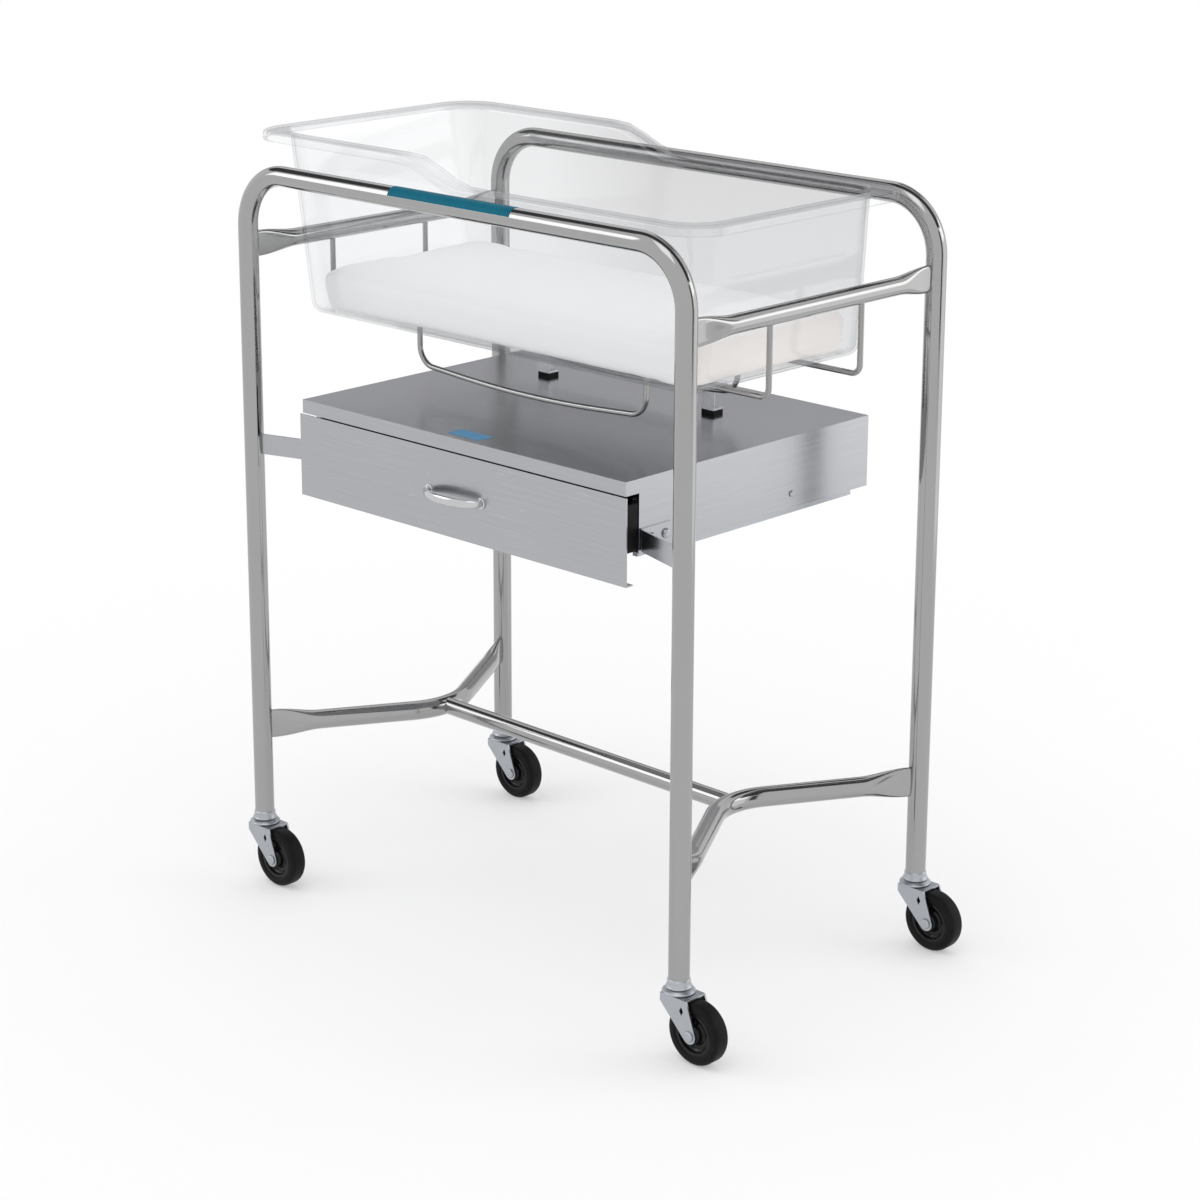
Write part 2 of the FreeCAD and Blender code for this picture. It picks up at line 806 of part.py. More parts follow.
def inside_screw(x, z, tip_y):
    """Screw driven from inside the drawer towards the front."""
    seat = front_back_y + box_sheet
    shank = rod(pull_screw_d / 2, V(x, seat, z), V(x, tip_y, z))
    head = rod(pull_screw_head_d / 2, V(x, seat, z), V(x, seat + pull_screw_head_h, z))
    return shank.fuse(head)


def make_drawer():
    save("drawer_box", drawer_box())
    save("drawer_front", drawer_front())
    save("drawer_buffers", drawer_buffer(-1), drawer_buffer(1))
    save("drawer_pull", drawer_pull())
    pull_tip = front_face_y - pull_screw_bite
    xs = (-pull_spacing / 2, pull_spacing / 2)
    save("drawer_pull_screws", *[inside_screw(x, pull_z, pull_tip) for x in xs])
    tip = front_back_y - front_sheet / 2
    save("drawer_front_screws", *[inside_screw(x, z, tip) for x, z in front_screw_places()])


# ---------------------------------------------------------------- basket and mattress


def basket_height_profile(lift, x_reach):
    """Closed outline in XZ between the floor and the rim's S-shaped line, raised by lift."""
    start_x = basket_step_x
    end_x = start_x + basket_step_length
    high, low = basket_high_z + lift, basket_low_z + lift
    drop = high - low
    step_r = (basket_step_length ** 2 + drop ** 2) / (4 * drop)
    quarter = math.asin(basket_step_length / 2 / step_r) / 2
    mid = V((start_x + end_x) / 2, 0, (high + low) / 2)
    upper_mid = V(start_x + step_r * math.sin(quarter), 0, high - step_r * (1 - math.cos(quarter)))
    lower_mid = V(end_x - step_r * math.sin(quarter), 0, low + step_r * (1 - math.cos(quarter)))
    start, end = V(start_x, 0, high), V(end_x, 0, low)
    floor_left, floor_right = V(-x_reach, 0, 0), V(x_reach, 0, 0)
    edges = [
        Part.makeLine(V(-x_reach, 0, high), start),
        Part.Arc(start, upper_mid, mid).toShape(),
        Part.Arc(mid, lower_mid, end).toShape(),
        Part.makeLine(end, V(x_reach, 0, low)),
        Part.makeLine(V(x_reach, 0, low), floor_right),
        Part.makeLine(floor_right, floor_left),
        Part.makeLine(floor_left, V(-x_reach, 0, high)),
    ]
    return Part.Face(Part.Wire(edges))


def below_rim(lift):
    """Everything from the floor up to the rim line raised by lift."""
    face = basket_height_profile(lift, leg_spacing_x)
    face.translate(V(0, -leg_spacing_y, 0))
    return face.extrude(V(0, 2 * leg_spacing_y, 0))


def tub_outline(z, inset):
    """The tapered tub's outline at height z, moved inwards by inset."""
    share = (z - basket_bottom_z) / basket_height
    left = basket_left - basket_head_draft * share + inset
    right = basket_right + basket_foot_draft * share - inset
    depth = basket_bottom_depth + 2 * (basket_side_draft * share - inset)
    growth = basket_mouth_corner_r - basket_bottom_corner_r
    corner_r = basket_bottom_corner_r + growth * share - inset
    return rounded_outline(left, right, depth, corner_r, z)


def tub(inset):
    """Solid tub with a rounded floor edge, its walls and floor moved inwards by inset."""
    bottom_z = basket_bottom_z + inset
    top_z = basket_high_z + basket_rim
    body = Part.makeLoft([tub_outline(bottom_z, inset), tub_outline(top_z, inset)], True, True)
    floor_edges = [e for e in body.Edges if abs(e.BoundBox.ZMax - bottom_z) < touch]
    return body.makeFillet(basket_floor_r - inset, floor_edges)


def rim_block(inset):
    """Tall block with the rim's outline, moved inwards by inset."""
    depth = basket_mouth_depth + 2 * (basket_rim - inset)
    corner_r = basket_rim_corner_r - inset
    outline = rounded_outline(rim_left + inset, rim_right - inset, depth, corner_r, basket_bottom_z)
    return Part.Face(outline).extrude(V(0, 0, basket_high_z))


def basket():
    """Clear basket: thin tapered tub; its flat rim steps up to the head end and has a lip."""
    outer = tub(0).common(below_rim(0))
    inner = tub(basket_wall)
    rim = rim_block(0).common(below_rim(0)).cut(below_rim(-basket_rim_thickness))
    lip = rim_block(0).cut(rim_block(basket_rim_thickness))
    lip = lip.common(below_rim(0)).cut(below_rim(-basket_lip_height))
    return outer.fuse(rim).fuse(lip).cut(inner).removeSplitter()


def mattress():
    """Flat pad that fills the basket's floor and widens upwards with its walls."""
    bottom_z = basket_bottom_z + basket_wall + seat_gap
    top_z = bottom_z + mattress_thickness
    room = basket_wall + mattress_gap
    pad = Part.makeLoft([tub_outline(bottom_z, room), tub_outline(top_z, room)], True, True)
    rims = [e for e in pad.Edges if e.BoundBox.ZLength < touch]
    return pad.makeFillet(mattress_edge_r, rims)


def make_basket():
    save("basket", basket())
    save("mattress", mattress())


# ---------------------------------------------------------------- labels


def rail_label():
    """Plain film wrapped over the front top rail."""
    x0 = rail_label_centre_x - rail_label_length / 2
    start = V(x0, -leg_y, top_rail_z)
    along = V(1, 0, 0)
    outer = Part.makeCylinder(tube_r + label_film, rail_label_length, start, along, rail_label_sweep_deg)
    inner = Part.makeCylinder(tube_r, rail_label_length, start, along)
    film = outer.cut(inner)
    film.rotate(start, along, rail_label_from_deg)
    return film


def top_label():
    """Plain film on the cabinet's top, near its front edge."""
    x, y0 = top_label_length / 2, -cabinet_y + top_label_inset
    return box(-x, x, y0, y0 + top_label_width, cabinet_top_z, cabinet_top_z + label_film)


def make_labels():
    save("rail_label", rail_label())
    save("top_label", top_label())


# ---------------------------------------------------------------- casters


def caster_stem(x, y):
    """Riveted stem: through the fork, the race and the collar, up into the leg."""
    foot_z = fork_plate_z - fork_sheet - stem_head_h - stem_play
    top_z = leg_bottom_z + stem_length_in_leg
    shank = Part.makeCylinder(stem_d / 2, top_z - foot_z, V(x, y, foot_z))
    head = Part.makeCylinder(stem_head_d / 2, stem_head_h, V(x, y, foot_z))
    return shank.fuse(head)


def caster_sleeve(x, y):
    """Rubber expander that grips the inside of the leg."""
    leg_inner_r = tube_r - frame_wall
    return ring(leg_inner_r, stem_d / 2, x, y, leg_bottom_z, leg_bottom_z + sleeve_length)


def caster_collar(x, y):
    """Round collar under the leg's end."""
    return ring(collar_d / 2, stem_d / 2, x, y, collar_bottom_z, leg_bottom_z)


def caster_race(x, y):
    """Upper ball race: a shallow cup open downwards, with a sleeve round the stem."""
    room_top_z = ball_z + ball_d / 2 + ball_play
    cup = ring(race_d / 2, stem_d / 2, x, y, race_bottom_z, collar_bottom_z)
    room = ring(race_d / 2 - race_wall, stem_d / 2 + race_wall, x, y, race_bottom_z, room_top_z)
    return cup.cut(room)


def caster_balls(x, y):
    """Ball circle between the upper race and the fork."""
    balls = []
    for index in range(ball_count):
        turn = 2 * math.pi * index / ball_count
        reach = V(math.cos(turn), math.sin(turn), 0) * ball_circle_r
        balls.append(Part.makeSphere(ball_d / 2, V(x, y, ball_z) + reach))
    return balls


def tangent_point(outside, centre, radius, turn):
    """Point where a line from outside touches a circle in XZ; turn is 1 or -1 for the side."""
    away = centre - outside
    bearing = math.atan2(away.z, away.x)
    spread = turn * math.asin(radius / away.Length)
    reach = math.sqrt(away.Length ** 2 - radius ** 2)
    return outside + V(math.cos(bearing + spread), 0, math.sin(bearing + spread)) * reach


def fork_cheek():
    """Side plate of a fork, about the stem's axis: wide at the top, narrow round the axle."""
    axle = V(caster_trail, 0, wheel_z)
    top_z = fork_plate_z
    front_top = V(fork_front, 0, top_z)
    shoulder = V(-fork_back, 0, top_z - fork_shoulder_h)
    front_touch = tangent_point(front_top, axle, fork_boss_r, 1)
    back_touch = tangent_point(shoulder, axle, fork_boss_r, -1)
    corners = [V(-fork_back, 0, top_z), front_top, front_touch, axle, back_touch, shoulder]
    plate = Part.Face(Part.makePolygon(corners + corners[:1])).extrude(V(0, fork_sheet, 0))
    boss = Part.makeCylinder(fork_boss_r, fork_sheet, axle, V(0, 1, 0))
    half_l, half_w = fork_hole_length / 2, fork_hole_width / 2
    x, z = fork_hole_from_stem, top_z - fork_hole_below_plate
    diamond = [V(x, 0, z + half_l), V(x + half_w, 0, z), V(x, 0, z - half_l), V(x - half_w, 0, z)]
    window = Part.Face(Part.makePolygon(diamond + diamond[:1])).extrude(V(0, fork_sheet, 0))
    bore = rod(axle_d / 2, axle, axle + V(0, fork_sheet, 0))
    return plate.fuse(boss).cut(window).cut(bore).removeSplitter()


def caster_fork(x, y):
    """Pressed fork: a top plate that turns about the stem, and two cheeks."""
    plate_z = fork_plate_z - fork_sheet
    body = box(-fork_back, fork_front, -fork_y, fork_y, plate_z, fork_plate_z)
    cheek = fork_cheek()
    for cheek_y in (-fork_y, fork_y - fork_sheet):
        body = body.fuse(cheek.translated(V(0, cheek_y, 0)))
    stem_hole = Part.makeCylinder(stem_d / 2 + stem_play, fork_sheet, V(0, 0, plate_z))
    return body.cut(stem_hole).removeSplitter().translated(V(x, y, 0))


def axle_parts(x, y):
    """Axle bolt with its head in front, and the nut behind."""
    ax, az = x + caster_trail, wheel_z
    front, back = y - fork_y, y + fork_y
    shank_end = back + axle_nut_h + axle_tip
    shank = rod(axle_d / 2, V(ax, front, az), V(ax, shank_end, az))
    head = rod(axle_head_d / 2, V(ax, front, az), V(ax, front - axle_head_h, az))
    nearest = min(range(len(head.Edges)), key=lambda i: head.Edges[i].CenterOfMass.y)
    crown = head.makeFillet(axle_head_h * head_round_share, [head.Edges[nearest]])
    corners = []
    for index in range(7):
        turn = math.pi / 3 * index + math.pi / 6
        r = axle_nut_af / math.sqrt(3)
        corners.append(V(ax + r * math.cos(turn), back, az + r * math.sin(turn)))
    nut = Part.Face(Part.makePolygon(corners)).extrude(V(0, axle_nut_h, 0))
    nut = nut.cut(rod(axle_d / 2, V(ax, back - overcut, az), V(ax, shank_end + overcut, az)))
    return shank.fuse(crown), nut


def wheel_parts(x, y):
    """Tyre and core of one wheel, turned about the axle."""
    ax, az = x + caster_trail, wheel_z
    half = wheel_width / 2
    centre = V(ax, y - half, az)
    along = V(0, 1, 0)
    blank = Part.makeCylinder(wheel_d / 2, wheel_width, centre, along)
    tread = [e for e in blank.Edges if e.BoundBox.YLength < touch]
    blank = blank.makeFillet(wheel_shoulder_r, tread)
    room_start = V(ax, y - half - overcut, az)
    core_room = Part.makeCylinder(wheel_core_d / 2, wheel_width + 2 * overcut, room_start, along)
    tyre = blank.cut(core_room)
    rim_half = half - wheel_core_inset
    rim = Part.makeCylinder(wheel_core_d / 2, 2 * rim_half, V(ax, y - rim_half, az), along)
    recess_r, hub_r = wheel_core_d / 2 - wheel_core_rim, wheel_hub_d / 2
    recess_depth = rim_half - wheel_core_web / 2
    core = rim
    for start in (y - rim_half, y + wheel_core_web / 2):
        recess = Part.makeCylinder(recess_r, recess_depth, V(ax, start, az), along)
        core = core.cut(recess.cut(Part.makeCylinder(hub_r, recess_depth, V(ax, start, az), along)))
    hub_half = fork_inside / 2 - wheel_hub_play
    hub = Part.makeCylinder(hub_r, 2 * hub_half, V(ax, y - hub_half, az), along)
    bore = rod(axle_d / 2 + axle_play, V(ax, y - fork_inside, az), V(ax, y + fork_inside, az))
    return tyre, core.fuse(hub).cut(bore).removeSplitter()


def make_casters():
    places = list(caster_places.values())
    save("caster_stems", *[caster_stem(x, y) for x, y in places])
    save("caster_sleeves", *[caster_sleeve(x, y) for x, y in places])
    save("caster_collars", *[caster_collar(x, y) for x, y in places])
    save("caster_races", *[caster_race(x, y) for x, y in places])
    save("caster_balls", *[ball for x, y in places for ball in caster_balls(x, y)])
    for name, (x, y) in caster_places.items():
        save(name + "_fork", caster_fork(x, y))
        save(name + "_axle", *axle_parts(x, y))
        tyre, core = wheel_parts(x, y)
        save(name + "_tyre", tyre)
        save(name + "_wheel_core", core)


def main():
    os.makedirs("parts", exist_ok=True)
    make_frame()
    make_cradle()
    make_cabinet()
    make_slides()
    make_drawer()
    make_basket()
    make_labels()
    make_casters()


main()
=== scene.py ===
"""A hospital bassinet: a clear basket with its mattress on a polished tubular trolley, over a
brushed steel cabinet with one drawer. Every piece is in metres, in the frame of the solid model.
"""

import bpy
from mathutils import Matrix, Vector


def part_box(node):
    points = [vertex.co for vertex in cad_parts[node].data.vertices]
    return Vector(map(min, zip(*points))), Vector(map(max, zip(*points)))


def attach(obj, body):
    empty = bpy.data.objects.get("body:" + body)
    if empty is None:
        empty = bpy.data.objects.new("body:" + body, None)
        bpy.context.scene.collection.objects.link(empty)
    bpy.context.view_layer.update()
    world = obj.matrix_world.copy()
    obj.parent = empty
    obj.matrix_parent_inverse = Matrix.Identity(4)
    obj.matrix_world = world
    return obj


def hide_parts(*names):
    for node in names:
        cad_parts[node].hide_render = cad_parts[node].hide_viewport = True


bl_info = {
    "name": "Hospital Bassinet",
    "version": (1, 0, 0),
    "blender": (4, 5, 0),
    "location": "View3D > Sidebar > Bassinet",
    "description": "Builds the visible pieces of a hospital bassinet round its fixed frame",
    "category": "Object",
}

from functools import cache
import math

import bmesh
import bpy
from bpy.props import FloatProperty, FloatVectorProperty, PointerProperty
from mathutils import Quaternion, Vector

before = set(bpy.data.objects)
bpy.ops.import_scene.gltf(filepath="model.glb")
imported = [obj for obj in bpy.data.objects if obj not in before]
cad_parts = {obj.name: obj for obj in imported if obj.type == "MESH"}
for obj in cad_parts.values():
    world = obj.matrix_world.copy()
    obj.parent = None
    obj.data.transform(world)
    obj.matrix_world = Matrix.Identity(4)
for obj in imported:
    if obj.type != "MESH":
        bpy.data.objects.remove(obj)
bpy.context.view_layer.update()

SIDES = ("left", "right")
DEPTHS = ("front", "rear")
UP = Vector((0, 0, 1))
BACK = Vector((0, 1, 0))
FINE_EDGE = 0.0003


# ---------------------------------------------------------------- sizes and finishes


def length(name, default, description):
    """A length that a user may change, in metres."""
    return FloatProperty(name=name, description=description, default=default, min=0, unit="LENGTH")


def turn(name, degrees, description):
    """An angle that a user may change."""
    return FloatProperty(name=name, description=description, default=math.radians(degrees), unit="ROTATION")


def power(name, default, description):
    """A lamp's power that a user may change, in watts."""
    return FloatProperty(name=name, description=description, default=default, min=0, unit="POWER")


def paint(name, default, description):
    """A colour that a user may change."""
    return FloatVectorProperty(
        name=name, description=description, default=default, min=0, max=1, subtype="COLOR",
    )


class FrameSizes(bpy.types.PropertyGroup):
    """Sizes of the tube and wire work that the solids' corners don't give."""

    bend_radius: length("Tube bend", 0.070, "Bend of the inverted U tubes, on their centre line")
    brace_bend: length("Brace bend", 0.090, "Bend in the middle of a foot brace")
    wire_bend: length("Wire bend", 0.012, "Bend of the cradle wires")
    loop_bend: length("Loop bend", 0.025, "Bend of the drop loops' corners")
    loop_bow: length("Loop bow", 0.013, "How far the lower runs of the drop loops sag")
    grip: length("Pressed end", 0.018, "Length pressed flat where a tube grips a leg")
    taper: length("Taper", 0.058, "Length over which a pressed end becomes round")
    rail_press: length("Rail end thickness", 0.0075, "Thickness of an end rail's pressed end")
    brace_press: length("Brace end thickness", 0.008, "Thickness of a brace's pressed end")
    weld_width: length("Weld width", 0.0035, "Thickness of the weld beads round the joints")
    weld_sink: length("Weld sink", 0.0015, "How far the beads' middle lies under the leg's surface")
    sheet_bend: length("Sheet bend", 0.0011, "Outer bend of the folded sheet")
    film: length("Film", 0.0003, "Thickness of the label films")
    film_from: turn("Film's edge", 14, "Lower edge of the rail's film, above the front of the rail")
    film_sweep: turn("Film's wrap", 96, "How far the film reaches round the rail")


class BasketSizes(bpy.types.PropertyGroup):
    """Sizes of the clear basket."""

    wall: length("Wall", 0.003, "Thickness of the acrylic")
    rim: length("Rim", 0.025, "Width of the flat rim")
    lip: length("Lip", 0.011, "Height of the rim's turned-down lip")
    rim_bend: length("Rim bend", 0.008, "Bend between the wall and the rim")
    lip_bend: length("Lip bend", 0.0035, "Bend between the rim and the lip")
    floor_bend: length("Floor bend", 0.014, "Bend between the floor and the wall")
    floor_corner: length("Floor corner", 0.024, "Corner radius at the floor")
    mouth_corner: length("Mouth corner", 0.048, "Corner radius at the mouth")
    rim_corner: length("Rim corner", 0.052, "Corner radius of the rim's outline")
    head_draft: length("Head draft", 0.037, "How far the head end's wall leans out")
    foot_draft: length("Foot draft", 0.016, "How far the foot end's wall leans out")
    side_draft: length("Side draft", 0.013, "How far each side wall leans out")
    step_drop: length("Rim step", 0.030, "How far the rim steps down towards the foot end")
    step_start: length("Step start", 0.289, "Where the step starts, from the rim's head end")
    step_length: length("Step length", 0.096, "Length of the step along the rim")
    ridge_drop: length("Ridge drop", 0.070, "How far the foot end's ridge is below the low rim")
    ridge_length: length("Ridge length", 0.200, "Length of the ridge across the foot end")
    ridge_radius: length("Ridge radius", 0.0014, "Radius of the ridge")


class CasterSizes(bpy.types.PropertyGroup):
    """Sizes of the casters that the solids' corners don't give."""

    mount_bore: length("Mount bore", 0.0057, "Radius of the bore in the collars and races")
    shoulder: length("Tyre shoulder", 0.0062, "Rounding of the tyre's edges")
    rim_inset: length("Rim inset", 0.0015, "How far the core's rim is inside the tyre's face")
    web: length("Web", 0.0045, "Half the thickness of the core between hub and rim")
    hub: length("Hub", 0.011, "Radius of the core's hub")
    bore: length("Wheel bore", 0.0041, "Radius of the core's bore")


class PullSizes(bpy.types.PropertyGroup):
    """Sizes of the drawer's bow pull."""

    bar: length("Bar", 0.0036, "Half the bar's depth")
    bar_end: length("Bar end", 0.0042, "Half the bar's height at its ends")
    bar_swell: length("Bar swell", 0.0016, "How much the half height grows towards the middle")
    bow_play: length("Bow play", 0.004, "How far the bar's middle line stays behind the pull's face")
    foot: length("Foot", 0.003, "Thickness of the two round feet")


class StudioSizes(bpy.types.PropertyGroup):
    """The floor and the lamps."""

    floor_size: length("Floor", 9.0, "Side of the floor")
    key_power: power("Key lamp", 9, "Power of the front lamp")
    top_power: power("Top lamp", 6, "Power of the overhead lamp")
    rim_power: power("Rim lamp", 16, "Power of the rear lamp")
    sky: FloatProperty(name="Sky", description="Strength of the even studio light", default=0.945, min=0)


class Finishes(bpy.types.PropertyGroup):
    """Base colours."""

    tube: paint("Tube", (0.37, 0.37, 0.368), "Polished stainless tube")
    wire: paint("Wire", (0.333, 0.333, 0.3312), "Polished stainless wire")
    sheet: paint("Sheet", (0.42, 0.427, 0.445), "Satin stainless sheet")
    zinc: paint("Zinc", (0.43, 0.45, 0.48), "Bright zinc plate")
    chrome: paint("Chrome", (0.56, 0.56, 0.57), "Mirror chrome")
    film: paint("Film", (0.001, 0.11, 0.17), "Blue adhesive film")
    film_pale: paint("Small film", (0.10, 0.27, 0.46), "Film on the cabinet's top")
    rubber: paint("Rubber", (0.005, 0.005, 0.0055), "Black rubber")
    core: paint("Wheel core", (0.006, 0.006, 0.007), "Black moulded core")
    cover: paint("Cover", (0.93, 0.93, 0.935), "White coated mattress cover")
    # Painted shade: a warmer, darker colour for the faces that look towards the foot end
    cover_side: paint("Cover side", (0.93, 0.875, 0.84), "Warm tint of the cover's foot end")
    clear: paint("Acrylic", (0.974, 0.977, 0.980), "What one face of the clear acrylic lets through")
    # Painted shade: the wall at the back lets less through, so it looks greyer
    clear_rear: paint("Rear acrylic", (0.82, 0.82, 0.825), "The same, for the wall at the back")
    # Painted shade: the darker outlines of the walls, where a face turns away
    clear_edge: paint("Acrylic edge", (0.45, 0.455, 0.465), "The same, where a face turns away")
    clear_gloss: paint("Acrylic shine", (0.92, 0.925, 0.93), "Colour of the acrylic's reflections")


GROUPS = {
    "bassinet_frame": FrameSizes,
    "bassinet_basket": BasketSizes,
    "bassinet_caster": CasterSizes,
    "bassinet_pull": PullSizes,
    "bassinet_studio": StudioSizes,
    "bassinet_finish": Finishes,
}


def sizes(name):
    """The sizes or finishes of one group in the current scene."""
    return getattr(bpy.context.scene, "bassinet_" + name)


# ---------------------------------------------------------------- nodes


class Value:
    """A number socket. Arithmetic on it adds Math nodes."""

    def __init__(self, nodes, socket):
        self.nodes = nodes
        self.socket = socket

    def math(self, operation, *values):
        inputs = dict(enumerate(values))
        return self.nodes.value(self.nodes.node("ShaderNodeMath", {"operation": operation}, inputs))

    def __add__(self, other):
        return self.math("ADD", self, other)

    def __sub__(self, other):
        return self.math("SUBTRACT", self, other)

    def __rsub__(self, other):
        return self.math("SUBTRACT", other, self)

    def __mul__(self, other):
        return self.math("MULTIPLY", self, other)

    def __truediv__(self, other):
        return self.math("DIVIDE", self, other)

    def __pow__(self, other):
        return self.math("POWER", self, other)

    def __gt__(self, other):
        return self.math("GREATER_THAN", self, other)

    def __abs__(self):
        return self.math("ABSOLUTE", self)

    def sine(self):
        return self.math("SINE", self)

    def clamped(self):
        return self.math("MINIMUM", self.math("MAXIMUM", self, 0.0), 1.0)

    __radd__ = __add__
    __rmul__ = __mul__


class Nodes:
    """A node tree and short ways to add nodes to it."""

    def __init__(self, tree):
        self.tree = tree
        tree.nodes.clear()

    def node(self, kind, settings=None, inputs=None):
        made = self.tree.nodes.new(kind)
        for name, setting in (settings or {}).items():
            if name == "stops":
                self.set_stops(made.color_ramp, setting)
            else:
                setattr(made, name, setting)
        for name, value in (inputs or {}).items():
            self.feed(made.inputs[name], value)
        return made

    def set_stops(self, ramp, stops):
        while len(ramp.elements) < len(stops):
            ramp.elements.new(1.0)
        for element, (place, grey) in zip(ramp.elements, stops):
            element.position = place
            element.color = (grey, grey, grey, 1)

    def feed(self, socket, value):
        if isinstance(value, Value):
            value = value.socket
        if isinstance(value, bpy.types.NodeSocket):
            self.tree.links.new(value, socket)
        elif socket.type == "RGBA" and len(value) == 3:
            socket.default_value = (*value, 1)
        else:
            socket.default_value = value

    def value(self, node, output=0):
        return Value(self, node.outputs[output])

    def coordinates(self, stretch=(1, 1, 1), turned=(0, 0, 0)):
        """Object coordinates, stretched and turned."""
        place = self.node("ShaderNodeTexCoord").outputs["Object"]
        inputs = {"Vector": place, "Scale": stretch, "Rotation": turned}
        return self.node("ShaderNodeMapping", {}, inputs).outputs["Vector"]

    def noise(self, stretch, detail=3.0, roughness=0.5, turned=(0, 0, 0)):
        """Soft noise between 0 and 1; stretch is its fineness along each axis."""
        return self.noise_at(self.coordinates(stretch, turned), 1.0, detail, roughness)

    def noise_at(self, vector, scale, detail, roughness=0.5):
        inputs = {"Vector": vector, "Scale": scale, "Detail": detail, "Roughness": roughness}
        return self.value(self.node("ShaderNodeTexNoise", {"noise_dimensions": "3D"}, inputs), "Fac")

    def ramp(self, factor, *stops):
        """Grey ramp through (place, grey) stops."""
        return self.value(self.node("ShaderNodeValToRGB", {"stops": stops}, {"Fac": factor}), "Color")

    def mix(self, factor, low, high):
        """Mix of two colours."""
        return self.node("ShaderNodeMix", {"data_type": "RGBA"}, {0: factor, 6: low, 7: high}).outputs[2]

    def bump(self, height, strength, distance):
        """Normal bent by a height."""
        inputs = {"Height": height, "Strength": strength, "Distance": distance}
        return self.node("ShaderNodeBump", {}, inputs).outputs["Normal"]

    def axes(self, vector):
        """The three parts of a vector, as values."""
        node = self.node("ShaderNodeSeparateXYZ", {}, {"Vector": vector})
        return [self.value(node, index) for index in range(3)]

    def facing(self, output):
        """The three parts of the surface's normal."""
        return self.axes(self.node("ShaderNodeNewGeometry").outputs[output])

    def surface(self, kind, inputs):
        """A surface or a light, from its kind and inputs."""
        return self.node(kind, {}, inputs).outputs[0]

    def principled(self, inputs):
        return self.surface("ShaderNodeBsdfPrincipled", inputs)

    def mixed(self, factor, first, second):
        """Mix of two surfaces by a factor that may change over the piece."""
        return self.surface("ShaderNodeMixShader", {0: factor, 1: first, 2: second})

    def finish(self, surface, kind="Material"):
        """Joins a surface to the tree's output."""
        self.node("ShaderNodeOutput" + kind, {}, {"Surface": surface})


def new_material(name):
    """An empty material and its nodes."""
    made = bpy.data.materials.new(name)
    made.use_nodes = True
    return made, Nodes(made.node_tree)


def shade(color, factor):
    """A colour made darker or lighter."""
    return tuple(min(1.0, part * factor) for part in color)


def polished_steel(nodes, color, roughness):
    """Polished tube: faint polishing lines, small smears and a few dull patches."""
    fine = nodes.noise((900, 900, 40), 2.0)
    smear = nodes.noise((9, 9, 5), 4.0)
    dull = nodes.ramp(smear, (0.42, 0.0), (0.72, 1.0))
    return nodes.principled({
        "Base Color": nodes.mix(dull * 0.5, color, shade(color, 0.93)),
        "Metallic": 1.0,
        "Roughness": roughness + fine * 0.035 + dull * 0.05,
        "Normal": nodes.bump(fine, 0.12, 0.00004),
    })


def satin_steel(nodes, color):
    """Satin sheet: a fine grain along its length, cloudy handling marks and fine scratches."""
    on_end = abs(nodes.facing("True Normal")[0]) > 0.7
    along_x = nodes.noise((7, 900, 900), 3.0, 0.6)
    along_y = nodes.noise((900, 7, 900), 3.0, 0.6)
    grain = along_x * (1 - on_end) + along_y * on_end
    cloud = nodes.noise((5, 5, 8), 4.0, 0.55)
    scratch = nodes.ramp(nodes.noise((26, 420, 420), 1.0, turned=(0, 0, 0.12)), (0.735, 0.0), (0.76, 1.0))
    tone = nodes.mix(grain * 0.7 + cloud * 0.3, shade(color, 0.86), shade(color, 1.12))
    return nodes.principled({
        "Base Color": nodes.mix(scratch * 0.25, tone, shade(color, 1.35)),
        "Metallic": 1.0,
        "Roughness": 0.17 + grain * 0.08 + cloud * 0.06,
        "Normal": nodes.bump(grain, 0.25, 0.00006),
    })


def zinc_plate(nodes, color):
    """Bright zinc plate: small crystals that differ in brightness, and a slight blue cast."""
    cells = nodes.node("ShaderNodeTexVoronoi", {"feature": "F1"}, {
        "Vector": nodes.coordinates(),
        "Scale": 520.0,
        "Randomness": 1.0,
    })
    crystal = nodes.noise_at(cells.outputs["Position"], 3.0, 1.0)
    stain = nodes.noise((45, 45, 45), 4.0)
    return nodes.principled({
        "Base Color": nodes.mix(crystal * 0.6 + stain * 0.4, shade(color, 0.84), shade(color, 1.14)),
        "Metallic": 1.0,
        "Roughness": 0.24 + crystal * 0.10 + stain * 0.08,
        "Normal": nodes.bump(crystal, 0.08, 0.00005),
    })


def black_moulding(nodes, color, roughness, gloss):
    """Black rubber or plastic: fine grain, dust in a few places."""
    grain = nodes.noise((1400, 1400, 1400), 2.0)
    dust = nodes.ramp(nodes.noise((60, 60, 60), 5.0), (0.5, 0.0), (0.8, 1.0))
    return nodes.principled({
        "Base Color": nodes.mix(dust * 0.35, color, (0.022, 0.022, 0.023)),
        "Roughness": roughness + grain * 0.10 + dust * 0.12,
        "Specular IOR Level": gloss,
        "Normal": nodes.bump(grain, 0.15, 0.00008),
    })


def adhesive_film(nodes, color):
    """Adhesive film with a slight mottle."""
    mottle = nodes.noise((90, 90, 90), 4.0)
    fine = nodes.noise((700, 700, 700), 2.0)
    return nodes.principled({
        "Base Color": nodes.mix(mottle, shade(color, 0.85), shade(color, 1.25)),
        "Roughness": 0.4 + mottle * 0.12,
        "Specular IOR Level": 0.1,
        "Normal": nodes.bump(fine, 0.08, 0.00004),
    })


